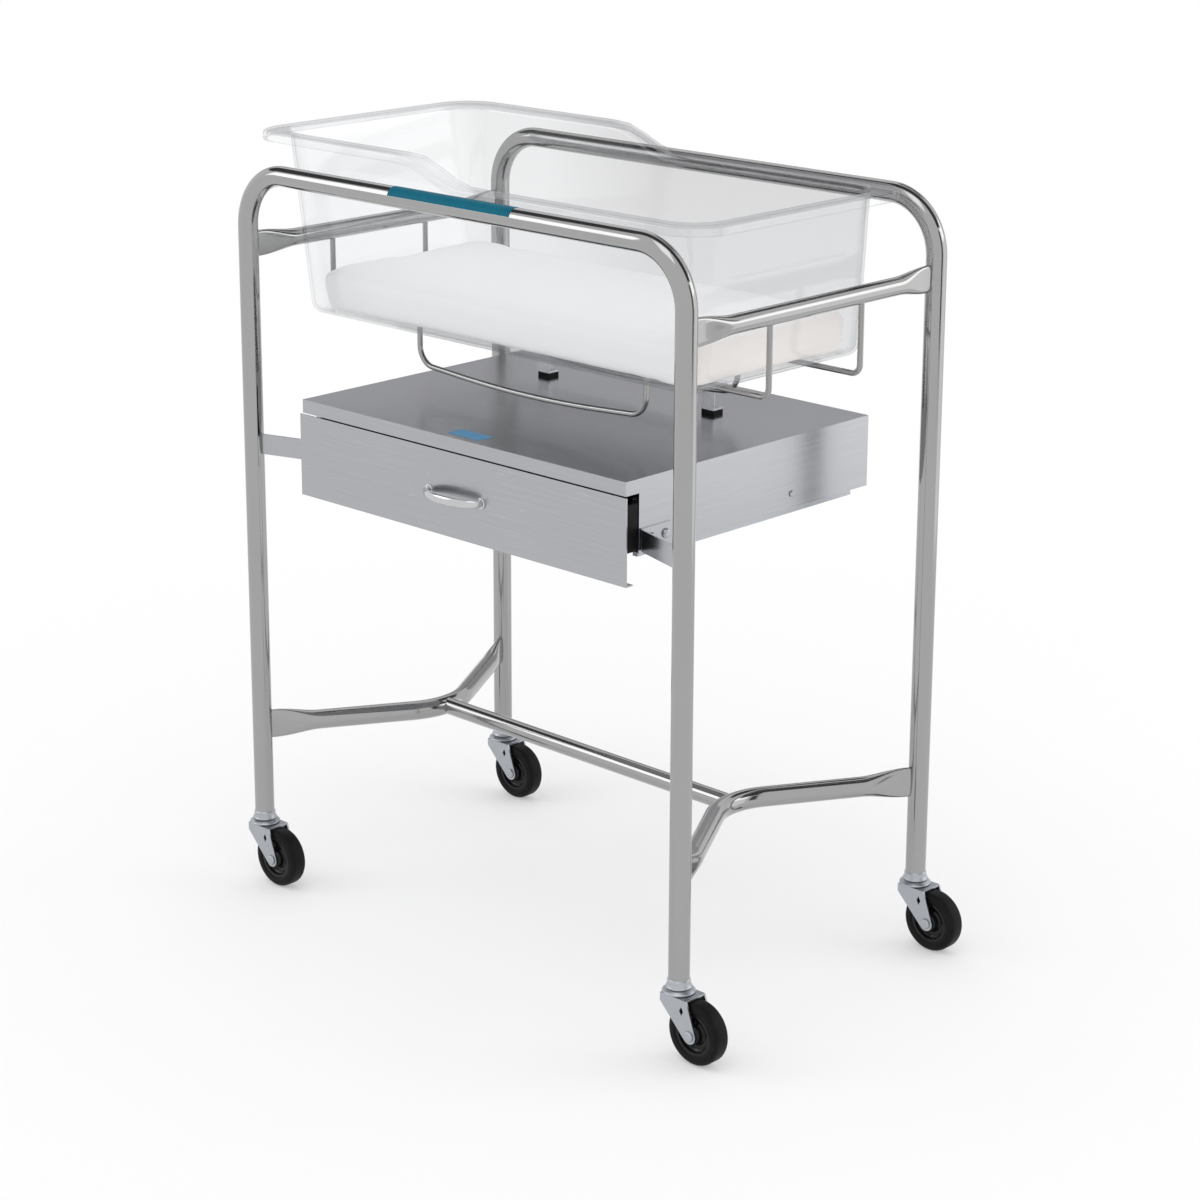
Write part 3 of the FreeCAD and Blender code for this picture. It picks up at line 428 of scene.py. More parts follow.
def coated_cover(nodes, color, foot_shade_color):
    """White coated cover with a painted warm shade on the faces towards the foot end: a faint close weave
    and soft creases.
    """
    x, y = nodes.axes(nodes.coordinates())[:2]
    thread = 0.0011
    rib = 2 * math.pi / thread
    weave = (x * rib).sine() * (y * rib).sine()
    crease = nodes.noise((14, 22, 30), 5.0, 0.6)
    # Painted shade: the faces that look towards the foot end take the warmer, darker colour
    foot_shade_share = (nodes.facing("Normal")[0] * 1.2).clamped()
    return nodes.principled({
        "Base Color": nodes.mix(foot_shade_share, color, foot_shade_color),
        "Roughness": 0.52 + crease * 0.12,
        "Sheen Weight": 0.12,
        "Normal": nodes.bump(weave * 0.12 + crease, 0.22, 0.0012),
    })


def clear_acrylic(nodes, color, rear_shade_color, edge_shade_color, gloss_color):
    """Clear moulded acrylic with painted shade: greyer at the back wall, most towards the foot end, and
    darker where a face turns away; the faces seen at an angle shine.
    """
    haze = nodes.noise((24, 24, 24), 4.0)
    fine = nodes.noise((260, 260, 260), 2.0)
    slant = nodes.value(nodes.node("ShaderNodeLayerWeight", {}, {"Blend": 0.5}), "Facing")
    along, depth = nodes.axes(nodes.coordinates())[:2]
    # Painted shade: the back wall is greyer, more so towards the foot end
    rear_shade_share = ((depth - 0.12) / 0.05).clamped()
    foot_shade_share = ((along + 0.25) / 0.20).clamped()
    front, rear, edge = (
        nodes.surface("ShaderNodeBsdfTransparent", {"Color": passed})
        for passed in (color, rear_shade_color, edge_shade_color)
    )
    clear = nodes.mixed(rear_shade_share * (foot_shade_share * 0.6 + 0.4), front, rear)
    # Painted shade: faces turned away from the view darken towards the edge colour
    clear = nodes.mixed(slant ** 8 * 0.8, clear, edge)
    gloss = nodes.principled({
        "Base Color": gloss_color,
        "Metallic": 1.0,
        "Roughness": 0.04 + haze * 0.05,
        "Normal": nodes.bump(fine, 0.03, 0.0001),
    })
    return nodes.mixed((slant ** 5 * 0.7 + haze * 0.02 + 0.02).clamped(), clear, gloss)


# Slot in the solid model, name, maker, the maker's colours and its other values, by finish
FINISHES = {
    "tube": ("stainless_tube", "polished_tube", polished_steel, ["tube"], 0.08),
    "wire": ("stainless_tube", "polished_wire", polished_steel, ["wire"], 0.14),
    "chrome": ("polished_chrome", "mirror_chrome", polished_steel, ["chrome"], 0.05),
    "sheet": ("cabinet_sheet", "satin_sheet", satin_steel, ["sheet"]),
    "zinc": ("zinc", "zinc_plate", zinc_plate, ["zinc"]),
    "rubber": ("black_rubber", "black_rubber", black_moulding, ["rubber"], 0.42, 0.12),
    "core": ("black_core", "black_core", black_moulding, ["core"], 0.14, 0.25),
    "film": ("blue_film", "blue_film", adhesive_film, ["film"]),
    "film_pale": ("blue_film", "small_film", adhesive_film, ["film_pale"]),
    "cover": ("white_cover", "mattress_cover", coated_cover, ["cover", "cover_side"]),
    "clear": (
        "clear_acrylic", "clear_acrylic", clear_acrylic,
        ["clear", "clear_rear", "clear_edge", "clear_gloss"],
    ),
}


@cache
def material(finish):
    """The material of a finish, made the first time that it is asked for."""
    slot, name, maker, colors, *values = FINISHES[finish]
    made, nodes = new_material(name)
    paints = [tuple(getattr(sizes("finish"), color)) for color in colors]
    nodes.finish(maker(nodes, *paints, *values))
    return made


# ---------------------------------------------------------------- mesh tools


def place_piece(piece, body, finish, replaced=()):
    """Gives a finished piece its material, its body and the nodes that it stands for."""
    piece.data.materials.clear()
    piece.data.materials.append(material(finish))
    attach(piece, body)
    if replaced:
        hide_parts(*replaced)


def link(name, data):
    """A new object at the origin."""
    made = bpy.data.objects.new(name, data)
    bpy.context.scene.collection.objects.link(made)
    return made


def from_bmesh(name, shape, smooth=True):
    """A new object from a bmesh, which is freed."""
    mesh = bpy.data.meshes.new(name)
    for face in shape.faces:
        face.smooth = smooth
    shape.to_mesh(mesh)
    shape.free()
    return link(name, mesh)


def settled(piece):
    """The piece with its modifiers worked in, so that none is left on it."""
    bpy.context.view_layer.update()
    depsgraph = bpy.context.evaluated_depsgraph_get()
    mesh = bpy.data.meshes.new_from_object(piece.evaluated_get(depsgraph))
    if piece.type == "MESH":
        piece.modifiers.clear()
        piece.data = mesh
        return piece
    name = piece.name
    bpy.data.objects.remove(piece)
    mesh.name = name
    return link(name, mesh)


def joined(name, *pieces):
    """One object from several meshes at the origin; their materials are dropped."""
    shape = bmesh.new()
    for piece in pieces:
        shape.from_mesh(piece.data)
        bpy.data.objects.remove(piece)
    mesh = bpy.data.meshes.new(name)
    shape.to_mesh(mesh)
    shape.free()
    return link(name, mesh)


def keep_sharp(piece, degrees):
    """Smooth shading apart from the edges that turn by more than an angle."""
    piece.data.shade_smooth()
    piece.data.set_sharp_from_angle(angle=math.radians(degrees))


def loft(name, rings, closed=False, merged=False, sharp_from=40):
    """Skin over rings of points. A closed one joins its last ring to its first, others get caps."""
    shape = bmesh.new()
    rows = [[shape.verts.new(point) for point in ring] for ring in rings]
    for row, after in zip(rows, rows[1:] + rows[:1] if closed else rows[1:]):
        for index in range(len(row)):
            onward = (index + 1) % len(row)
            shape.faces.new((row[index], row[onward], after[onward], after[index]))
    if not closed:
        shape.faces.new(reversed(rows[0]))
        shape.faces.new(rows[-1])
    if merged:
        bmesh.ops.remove_doubles(shape, verts=shape.verts, dist=1e-6)
    bmesh.ops.recalc_face_normals(shape, faces=shape.faces)
    piece = from_bmesh(name, shape)
    keep_sharp(piece, sharp_from)
    return piece


def spokes(count):
    """Cosine and sine of evenly spaced angles round a circle."""
    angles = [2 * math.pi * step / count for step in range(count)]
    return [(math.cos(angle), math.sin(angle)) for angle in angles]


def lathe(name, profile, centre, axis, steps=48):
    """Closed solid turned about an axis; the profile's points are (radius, height)."""
    onto_axis = UP.rotation_difference(axis)
    rings = [
        [centre + onto_axis @ Vector((c * radius, s * radius, height)) for radius, height in profile]
        for c, s in spokes(steps)
    ]
    return loft(name, rings, closed=True, merged=True, sharp_from=35)


def arc(centre, radius, start, end, steps):
    """Points of an arc in a profile's plane, with both ends; angles are in degrees."""
    points = []
    for step in range(steps + 1):
        angle = math.radians(start + (end - start) * step / steps)
        points.append((centre[0] + radius * math.cos(angle), centre[1] + radius * math.sin(angle)))
    return points


def bent_route(points, radius, steps):
    """Points along straight runs joined by arcs."""
    route = [points[0]]
    for before, corner, after in zip(points, points[1:], points[2:]):
        back = (before - corner).normalized()
        onward = (after - corner).normalized()
        half = back.angle(onward) / 2
        hub = corner + (back + onward).normalized() * (radius / math.sin(half))
        start = corner + back * (radius / math.tan(half)) - hub
        end = corner + onward * (radius / math.tan(half)) - hub
        whole = start.rotation_difference(end)
        route.extend(hub + Quaternion().slerp(whole, step / steps) @ start for step in range(steps + 1))
    route.append(points[-1])
    return route


def subdivided(route, step=0.004):
    """The route with points added so that none is further than step from the next."""
    points = [route[0]]
    for before, after in zip(route, route[1:]):
        parts = max(1, math.ceil((after - before).length / step))
        points.extend(before.lerp(after, part / parts) for part in range(1, parts + 1))
    return points


def eased(value):
    """Smooth step between 0 and 1."""
    value = min(1.0, max(0.0, value))
    return value * value * (3 - 2 * value)


def dressed(name, nodes, body, finish, width, segments=2, sharp_from=30):
    """Solid nodes joined as one finished piece, with their sharp edges rounded."""
    shape = bmesh.new()
    for node in nodes:
        shape.from_mesh(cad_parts[node].data)
    bmesh.ops.remove_doubles(shape, verts=shape.verts, dist=2e-6)
    bmesh.ops.dissolve_limit(shape, angle_limit=math.radians(1), verts=shape.verts, edges=shape.edges)
    limit = math.radians(sharp_from)
    edges = [edge for edge in shape.edges if len(edge.link_faces) == 2 and edge.calc_face_angle(0) > limit]
    bmesh.ops.bevel(
        shape, geom=edges, offset=width, segments=segments, profile=0.6,
        affect="EDGES", clamp_overlap=True,
    )
    piece = from_bmesh(name, shape)
    weighted = piece.modifiers.new("weighted", "WEIGHTED_NORMAL")
    weighted.keep_sharp = True
    keep_sharp(piece, 50)
    place_piece(settled(piece), body, finish, nodes)


# ---------------------------------------------------------------- geometry nodes


def new_tree(name, inputs):
    """A geometry tree with named inputs: its nodes and the sockets that it is given."""
    tree = bpy.data.node_groups.new(name, "GeometryNodeTree")
    for label, kind in {"Geometry": "Geometry", **inputs}.items():
        tree.interface.new_socket(label, in_out="INPUT", socket_type="NodeSocket" + kind)
    tree.interface.new_socket("Geometry", in_out="OUTPUT", socket_type="NodeSocketGeometry")
    nodes = Nodes(tree)
    return nodes, nodes.node("NodeGroupInput").outputs


def end_tree(nodes, geometry, finish):
    """Makes copies real, sets the finish and gives the result out."""
    real = nodes.node("GeometryNodeRealizeInstances", {}, {"Geometry": geometry}).outputs[0]
    inputs = {"Geometry": real, "Material": finish}
    painted = nodes.node("GeometryNodeSetMaterial", {}, inputs).outputs[0]
    nodes.node("NodeGroupOutput", {}, {"Geometry": painted})
    return nodes.tree


@cache
def rod_tree():
    """Rounds the corners of a path and runs a round bar along it.

    The radius of a path's point scales the bend there.
    """
    nodes, given = new_tree("bent_rod", {
        "Bend Radius": "Float", "Bend Steps": "Int", "Rod Radius": "Float", "Sides": "Int",
        "Finish": "Material",
    })
    bend = nodes.value(nodes.node("GeometryNodeInputRadius")) * given["Bend Radius"]
    rounded = nodes.node("GeometryNodeFilletCurve", {"mode": "POLY"}, {
        "Curve": given["Geometry"], "Count": given["Bend Steps"], "Radius": bend,
    })
    even = nodes.node("GeometryNodeSetCurveRadius", {}, {"Curve": rounded.outputs[0], "Radius": 1.0})
    ring = nodes.node("GeometryNodeCurvePrimitiveCircle", {}, {
        "Resolution": given["Sides"], "Radius": given["Rod Radius"],
    })
    bar = nodes.node("GeometryNodeCurveToMesh", {}, {
        "Curve": even.outputs[0], "Profile Curve": ring.outputs[0], "Fill Caps": True,
    })
    return end_tree(nodes, bar.outputs[0], given["Finish"])


@cache
def scatter_tree():
    """Sets an upright copy of a piece on every point."""
    nodes, given = new_tree("set_on_points", {"Piece": "Object", "Finish": "Material"})
    source = nodes.node("GeometryNodeObjectInfo", {}, {"Object": given["Piece"]}).outputs["Geometry"]
    inputs = {"Points": given["Geometry"], "Instance": source}
    copies = nodes.node("GeometryNodeInstanceOnPoints", {}, inputs).outputs[0]
    return end_tree(nodes, copies, given["Finish"])


def run_tree(host, tree, **inputs):
    """Runs a tree on a host with its inputs set, and works the result in."""
    modifier = host.modifiers.new(tree.name, "NODES")
    modifier.node_group = tree
    for item in tree.interface.items_tree:
        key = item.name.lower().replace(" ", "_")
        if item.in_out == "INPUT" and key in inputs:
            modifier[item.identifier] = inputs[key]
    return settled(host)


def bent_rod(name, points, bend, radius, finish, sides=32, bend_steps=14, scales=None):
    """Round bar along a path with rounded corners; scales widen or tighten single bends."""
    curve = bpy.data.curves.new(name, "CURVE")
    curve.dimensions = "3D"
    spline = curve.splines.new("POLY")
    spline.points.add(len(points) - 1)
    for control, point, scale in zip(spline.points, points, scales or [1] * len(points)):
        control.co = (*point, 1)
        control.radius = scale
    piece = run_tree(
        link(name, curve), rod_tree(),
        bend_radius=bend, bend_steps=bend_steps, rod_radius=radius, sides=sides, finish=material(finish),
    )
    keep_sharp(piece, 45)
    return piece


def scattered(name, source, places, finish):
    """Upright copies of a small piece at the places."""
    mesh = bpy.data.meshes.new(name)
    mesh.from_pydata(places, [], [])
    piece = run_tree(link(name, mesh), scatter_tree(), piece=source, finish=material(finish))
    bpy.data.objects.remove(source)
    keep_sharp(piece, 35)
    return piece


# ---------------------------------------------------------------- the frame's tube and wire


def tube_radius():
    """Radius of the frame tube, from the front tube's depth."""
    low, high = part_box("front_frame_tube")
    return (high.y - low.y) / 2


def leg_places():
    """Axis points of the four legs at their lower ends, by corner."""
    radius = tube_radius()
    places = {}
    for depth in DEPTHS:
        low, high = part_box(depth + "_frame_tube")
        y = (low.y + high.y) / 2
        places[depth + "_left"] = Vector((low.x + radius, y, low.z))
        places[depth + "_right"] = Vector((high.x - radius, y, low.z))
    return places


def u_points(node, radius, upright):
    """Path of a U-shaped rod, from its solid's corners; an upright one opens downwards."""
    low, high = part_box(node)
    left, right = low.x + radius, high.x - radius
    y = (low.y + high.y) / 2
    open_z, closed_z = (low.z, high.z - radius) if upright else (high.z, low.z + radius)
    corners = ((left, open_z), (left, closed_z), (right, closed_z), (right, open_z))
    return [Vector((x, y, z)) for x, z in corners]


def along_route(route, index):
    """Direction of a route at one of its points, and the level direction across it."""
    before, after = route[max(index - 1, 0)], route[min(index + 1, len(route) - 1)]
    along = (after - before).normalized()
    return along, along.cross(UP).normalized()


def pressed_tube(name, route, radius, end_height, end_thickness):
    """Tube along a level route, pressed flat and upright at both ends."""
    form = sizes("frame")
    squareness = 1.6
    distances = [0.0]
    for before, after in zip(route, route[1:]):
        distances.append(distances[-1] + (after - before).length)
    rings = []
    for index, (point, distance) in enumerate(zip(route, distances)):
        across = along_route(route, index)[1]
        from_end = min(distance, distances[-1] - distance)
        roundness = eased((from_end - form.grip) / form.taper)
        half_height = end_height / 2 + (radius - end_height / 2) * roundness
        half_width = end_thickness / 2 + (radius - end_thickness / 2) * roundness
        power = 2 / (2 + squareness * (1 - roundness))
        rings.append([
            point
            + across * (math.copysign(abs(c) ** power, c) * half_width)
            + UP * (math.copysign(abs(s) ** power, s) * half_height)
            for c, s in spokes(40)
        ])
    return loft(name, rings)


class BASSINET_OT_frame_tubes(bpy.types.Operator):
    """Builds the two inverted U tubes and the stretcher"""

    bl_idname = "bassinet.frame_tubes"
    bl_label = "Frame Tubes"

    def execute(self, context):
        form = sizes("frame")
        radius = tube_radius()
        for depth in DEPTHS:
            node = depth + "_frame_tube"
            points = u_points(node, radius, True)
            tube = bent_rod(depth + "_u_tube", points, form.bend_radius, radius, "tube", 56, 20)
            place_piece(tube, "frame", "tube", [node])
        low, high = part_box("stretcher_tube")
        y, z = (low.y + high.y) / 2, (low.z + high.z) / 2
        ends = [Vector((x, y, z)) for x in (low.x, high.x)]
        stretcher = bent_rod("stretcher", ends, form.wire_bend, (high.y - low.y) / 2, "tube", 40)
        place_piece(stretcher, "frame", "tube", ["stretcher_tube"])
        return {"FINISHED"}


class BASSINET_OT_end_rails(bpy.types.Operator):
    """Builds the upper end rails and the bowed foot braces, with their pressed ends"""

    bl_idname = "bassinet.end_rails"
    bl_label = "End Rails and Braces"

    def execute(self, context):
        form = sizes("frame")
        legs = leg_places()
        for side in SIDES:
            front, rear = legs["front_" + side], legs["rear_" + side]
            node = side + "_end_rail"
            low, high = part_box(node)
            ends = [Vector((leg.x, leg.y, (low.z + high.z) / 2)) for leg in (front, rear)]
            radius, height = (high.x - low.x) / 2, high.z - low.z
            rail = pressed_tube(side + "_upper_rail", subdivided(ends), radius, height, form.rail_press)
            place_piece(rail, "frame", "tube", [node])
            self.brace(side, front, rear, form)
        return {"FINISHED"}

    def brace(self, side, front, rear, form):
        """One foot brace; its bow is where the solid's inner face is."""
        node = side + "_foot_brace"
        low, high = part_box(node)
        z = (low.z + high.z) / 2
        radius = tube_radius()
        inward, inner_face = (1, high.x) if side == "left" else (-1, low.x)
        reach = abs(inner_face - front.x) - radius
        bow = self.corner_bow(reach, (rear.y - front.y) / 2, form.brace_bend)
        corner = (front.x + inward * bow, (front.y + rear.y) / 2)
        points = [Vector((x, y, z)) for x, y in (front.xy, corner, rear.xy)]
        route = subdivided(bent_route(points, form.brace_bend, 20))
        brace = pressed_tube(side + "_brace", route, radius, high.z - low.z, form.brace_press)
        place_piece(brace, "frame", "tube", [node])

    def corner_bow(self, reach, half_depth, radius):
        """Distance to the bend's corner, from the distance to the bend itself."""
        bow = reach
        for _ in range(12):
            half_angle = math.atan2(half_depth, bow)
            bow = reach + radius * (1 / math.sin(half_angle) - 1)
        return bow


class BASSINET_OT_cradle(bpy.types.Operator):
    """Builds the cradle wires and the drop loops"""

    bl_idname = "bassinet.cradle"
    bl_label = "Wire Cradle"

    def execute(self, context):
        form = sizes("frame")
        for depth in DEPTHS:
            node = depth + "_cradle_wire"
            low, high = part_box(node)
            radius = (high.y - low.y) / 2
            points = u_points(node, radius, False)
            wire = bent_rod(depth + "_long_wire", points, form.wire_bend, radius, "wire", 20)
            place_piece(wire, "frame", "wire", [node])
            self.loop(depth, form, radius)
        return {"FINISHED"}

    def loop(self, depth, form, radius):
        """Drop loop: two short sides and a lower run that sags a little in the middle."""
        node = depth + "_drop_loop"
        left_top, left, right, right_top = u_points(node, radius, False)
        half = (right.x - left.x) / 2
        sag_radius = (half - 3 * form.loop_bend) * half / form.loop_bow
        rise = sag_radius * (math.hypot(1, form.loop_bow / half) - 1)
        lowest = (left + right) / 2 - UP * rise
        corners = [point + UP * (form.loop_bow - rise) for point in (left, right)]
        points = [left_top, corners[0], lowest, corners[1], right_top]
        scales = [1, 1, sag_radius / form.loop_bend, 1, 1]
        loop = bent_rod(depth + "_loop", points, form.loop_bend, radius, "wire", 20, scales=scales)
        place_piece(loop, "frame", "wire", [node])


class BASSINET_OT_welds(bpy.types.Operator):
    """Builds the weld beads where the end rails meet the legs"""

    bl_idname = "bassinet.welds"
    bl_label = "Weld Beads"

    def execute(self, context):
        form = sizes("frame")
        beads = []
        for corner, foot in leg_places().items():
            depth, side = corner.split("_")
            facing = BACK if depth == "front" else -BACK
            low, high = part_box(side + "_end_rail")
            centre = Vector((foot.x, foot.y, (low.z + high.z) / 2))
            centre += facing * (tube_radius() - form.weld_sink)
            half_width, half_height = form.rail_press / 2, (high.z - low.z) / 2
            beads.append(self.bead(centre, facing, half_width, half_height, form.weld_width))
        place_piece(joined("rail_welds", *beads), "frame", "tube")
        return {"FINISHED"}

    def bead(self, centre, axis, wide, tall, thickness):
        """Flattened bead round a joint, with the ripples of its runs."""
        across = axis.cross(UP).normalized()
        rings = []
        for step, (c, s) in enumerate(spokes(56)):
            spoke = across * (wide * c) + UP * (tall * s)
            angle = 2 * math.pi * step / 56
            swell = 1 + 0.14 * math.sin(angle * 17) + 0.08 * math.sin(angle * 29 + 1)
            reach, out = thickness / 2 * swell, spoke.normalized()
            rings.append([centre + spoke + (out * x + axis * y) * reach for x, y in spokes(10)])
        return loft("bead", rings, closed=True)


# ---------------------------------------------------------------- cabinet and drawer


class BASSINET_OT_cabinet(bpy.types.Operator):
    """Builds the folded cabinet, its back panel, straps, clips and pads"""

    bl_idname = "bassinet.cabinet"
    bl_label = "Cabinet"

    def execute(self, context):
        bend = sizes("frame").sheet_bend
        straps = ["left_cabinet_strap", "right_cabinet_strap"]
        channels = ["left_slide_channel", "right_slide_channel"]
        dressed("cabinet_body", ["cabinet_shell"], "frame", "sheet", bend, 3)
        dressed("cabinet_rear_panel", ["cabinet_back"], "frame", "sheet", bend / 4)
        dressed("cabinet_straps", straps, "frame", "sheet", bend / 2)
        dressed("clips", ["loop_clips"], "frame", "sheet", bend / 3)
        dressed("clip_pads", ["loop_clip_pads"], "frame", "rubber", bend / 2)
        dressed("slide_channels", channels, "frame", "zinc", bend / 4)
        return {"FINISHED"}


class BASSINET_OT_drawer(bpy.types.Operator):
    """Builds the drawer: its box, front, buffers and runners"""

    bl_idname = "bassinet.drawer"
    bl_label = "Drawer"

    def execute(self, context):
        bend = sizes("frame").sheet_bend
        runners = ["left_slide_runner", "right_slide_runner"]
        dressed("drawer_tray", ["drawer_box"], "drawer", "sheet", bend / 3)
        dressed("drawer_face", ["drawer_front"], "drawer", "sheet", bend / 2, 3)
        dressed("edge_buffers", ["drawer_buffers"], "drawer", "rubber", bend)
        dressed("slide_runners", runners, "drawer", "zinc", bend / 4)
        return {"FINISHED"}


class BASSINET_OT_pull(bpy.types.Operator):
    """Builds the bow pull: a bar that swells in the middle, on two round feet"""

    bl_idname = "bassinet.pull"
    bl_label = "Drawer Pull"

    def execute(self, context):
        form = sizes("pull")
        low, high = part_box("drawer_pull")
        foot_radius = (high.z - low.z) / 2
        foot_x = (high.x - low.x) / 2 - foot_radius
        middle = Vector(((low.x + high.x) / 2, high.y, (low.z + high.z) / 2))
        reach = high.y - low.y - form.bow_play
        steps = 48
        angles = [math.pi / 2 * (2 * step / steps - 1) for step in range(steps + 1)]
        route = [
            middle + Vector((math.sin(angle) * foot_x, -reach * max(0.0, math.cos(angle)) ** 0.9, 0))
            for angle in angles
        ]
        rings = []
        for index, (point, angle) in enumerate(zip(route, angles)):
            across = along_route(route, index)[1] * form.bar
            tall = UP * (form.bar_end + form.bar_swell * math.cos(angle))
            rings.append([point + across * c + tall * s for c, s in spokes(20)])
        edge, waist, shoulder = 0.001, (0.003574, 0.002381), 0.0048
        profile = [
            (0, 0), (foot_radius, 0), *arc((foot_radius - edge, 1.2 * edge), edge, 0, 90, 4),
            waist, (shoulder, form.foot), (0, form.foot),
        ]
        feet = [
            lathe("foot", profile, middle + Vector((side * foot_x, 0, 0)), -BACK, 32)
            for side in (-1, 1)
        ]
        pull = joined("bow_pull", loft("bar", rings), *feet)
        place_piece(pull, "drawer", "chrome", ["drawer_pull"])
        keep_sharp(pull, 40)
        return {"FINISHED"}


class BASSINET_OT_fasteners(bpy.types.Operator):
    """Builds the bolts, screws and the labels"""

    bl_idname = "bassinet.fasteners"
    bl_label = "Fasteners and Labels"

    def execute(self, context):
        bodies = {
            "strap_bolts": "frame", "slide_screws": "frame", "loop_clip_screws": "frame",
            "drawer_pull_screws": "drawer", "drawer_front_screws": "drawer",
        }
        for node, body in bodies.items():
            dressed(node + "_set", [node], body, "zinc", FINE_EDGE, 1)
        self.rail_film()
        dressed("shelf_film", ["top_label"], "frame", "film_pale", FINE_EDGE / 3, 1)
        return {"FINISHED"}

    def rail_film(self):
        """Film wrapped over the front of the front rail."""
        form = sizes("frame")
        low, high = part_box("rail_label")
        tube_low, tube_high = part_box("front_frame_tube")
        inner = tube_radius()
        axis = Vector((0, (tube_low.y + tube_high.y) / 2, tube_high.z - inner))
        first = math.degrees(math.pi - form.film_from)
        last = first - math.degrees(form.film_sweep)
        section = arc((0, 0), inner, last, first, 24) + arc((0, 0), inner + form.film, first, last, 24)
        columns = 40
        rings = []
        for column in range(columns + 1):
            x = low.x + (high.x - low.x) * column / columns
            rings.append([axis + Vector((x, y, z)) for y, z in section])
        place_piece(loft("rail_film", rings), "frame", "film", ["rail_label"])


# ---------------------------------------------------------------- basket and mattress


def rounded_ring(left, right, half_depth, radius, z=0.0, per_corner=14, per_side=24):
    """Points round a level rounded rectangle."""
    corners = (
        (right, half_depth, 0), (left, half_depth, 90), (left, -half_depth, 180), (right, -half_depth, 270),
    )
    bends = []
    for x, y, start in corners:
        hub = (x - math.copysign(radius, x - (left + right) / 2), y - math.copysign(radius, y))
        bends.append([Vector((*point, z)) for point in arc(hub, radius, start, start + 90, per_corner)])
    points = []
    for bend, after in zip(bends, bends[1:] + bends[:1]):
        points.extend(bend)
        points.extend(bend[-1].lerp(after[0], step / per_side) for step in range(1, per_side))
    return points


class BASSINET_OT_basket(bpy.types.Operator):
    """Builds the clear basket: tapered walls, a stepped rim, a turned-down lip and an end ridge"""

    bl_idname = "bassinet.basket"
    bl_label = "Basket"

    def execute(self, context):
        form = sizes("basket")
        under, upper = [self.face(form, inset) for inset in (0, form.wall)]
        place_piece(loft("clear_basket", under + upper[::-1]), "basket", "clear", ["basket"])
        self.ridge(form)
        return {"FINISHED"}

    def ridge(self, form):
        """Moulded ridge across the foot end's wall."""
        low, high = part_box("basket")
        drop = form.step_drop + form.ridge_drop
        x = high.x - form.rim - form.foot_draft * drop / (high.z - low.z)
        ends = [Vector((x, side * form.ridge_length / 2, high.z - drop)) for side in (-1, 1)]
        ridge = bent_rod("end_ridge", ends, form.lip_bend, form.ridge_radius, "clear", 12)
        place_piece(ridge, "basket", "clear")

    def outline(self, form, share, out):
        """Outline of the wall's outer face, moved outwards; share 0 is the floor, 1 the mouth."""
        low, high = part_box("basket")
        left = low.x + form.rim + form.head_draft * (1 - share) - out
        right = high.x - form.rim - form.foot_draft * (1 - share) + out
        half_depth = (high.y - low.y) / 2 - form.rim - form.side_draft * (1 - share) + out
        corner = form.floor_corner + (form.mouth_corner - form.floor_corner) * share + out
        return rounded_ring(left, right, half_depth, corner)

    def rim_section(self, form, inset):
        """Section of the rim and its lip, as (outwards, up) from the top of the wall."""
        hub = (form.rim_bend - form.wall, -form.rim_bend)
        lip_hub = (form.rim - form.lip_bend, -form.lip_bend)
        return [
            *arc(hub, form.rim_bend - form.wall + inset, 180, 90, 7),
            *arc(lip_hub, form.lip_bend - form.wall + inset, 90, 0, 6),
            (form.rim - form.wall + inset, -form.lip),
        ]

    def face(self, form, inset):
        """Rings of one face, from the middle of the floor out to the lip's lower edge."""
        low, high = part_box("basket")
        rise = high.z - low.z
        bend = form.floor_bend - inset
        rings = []
        for step in range(8):
            angle = math.pi / 2 * step / 7
            z = low.z + inset + bend * (1 - math.cos(angle))
            ring = self.outline(form, (z - low.z) / rise, -inset - bend * (1 - math.sin(angle)))
            rings.append([point + UP * z for point in ring])
        middle = sum(rings[0], Vector()) / len(rings[0])
        rings = [[middle.lerp(point, share) for point in rings[0]] for share in (0.04, 0.4, 0.75)] + rings

        start = low.z + inset + bend
        step_start = low.x + form.step_start
        floor, mouth = self.outline(form, 0, -inset), self.outline(form, 1, -inset)
        levels = [high.z - form.step_drop * eased((p.x - step_start) / form.step_length) for p in mouth]
        for step in range(1, 13):
            ring = []
            for below, above, level in zip(floor, mouth, levels):
                z = start + (level - form.rim_bend - start) * step / 12
                ring.append(below.lerp(above, (z - low.z) / rise) + UP * z)
            rings.append(ring)

        floor, mouth = self.outline(form, 0, 0), self.outline(form, 1, 0)
        edge = rounded_ring(low.x, high.x, (high.y - low.y) / 2, form.rim_corner)
        for out, up in self.rim_section(form, inset):
            ring = []
            for below, above, far, level in zip(floor, mouth, edge, levels):
                z = level + up
                wall = below.lerp(above, (z - low.z) / rise)
                ring.append(wall.lerp(far, out / form.rim) + UP * z)
            rings.append(ring)
        return rings


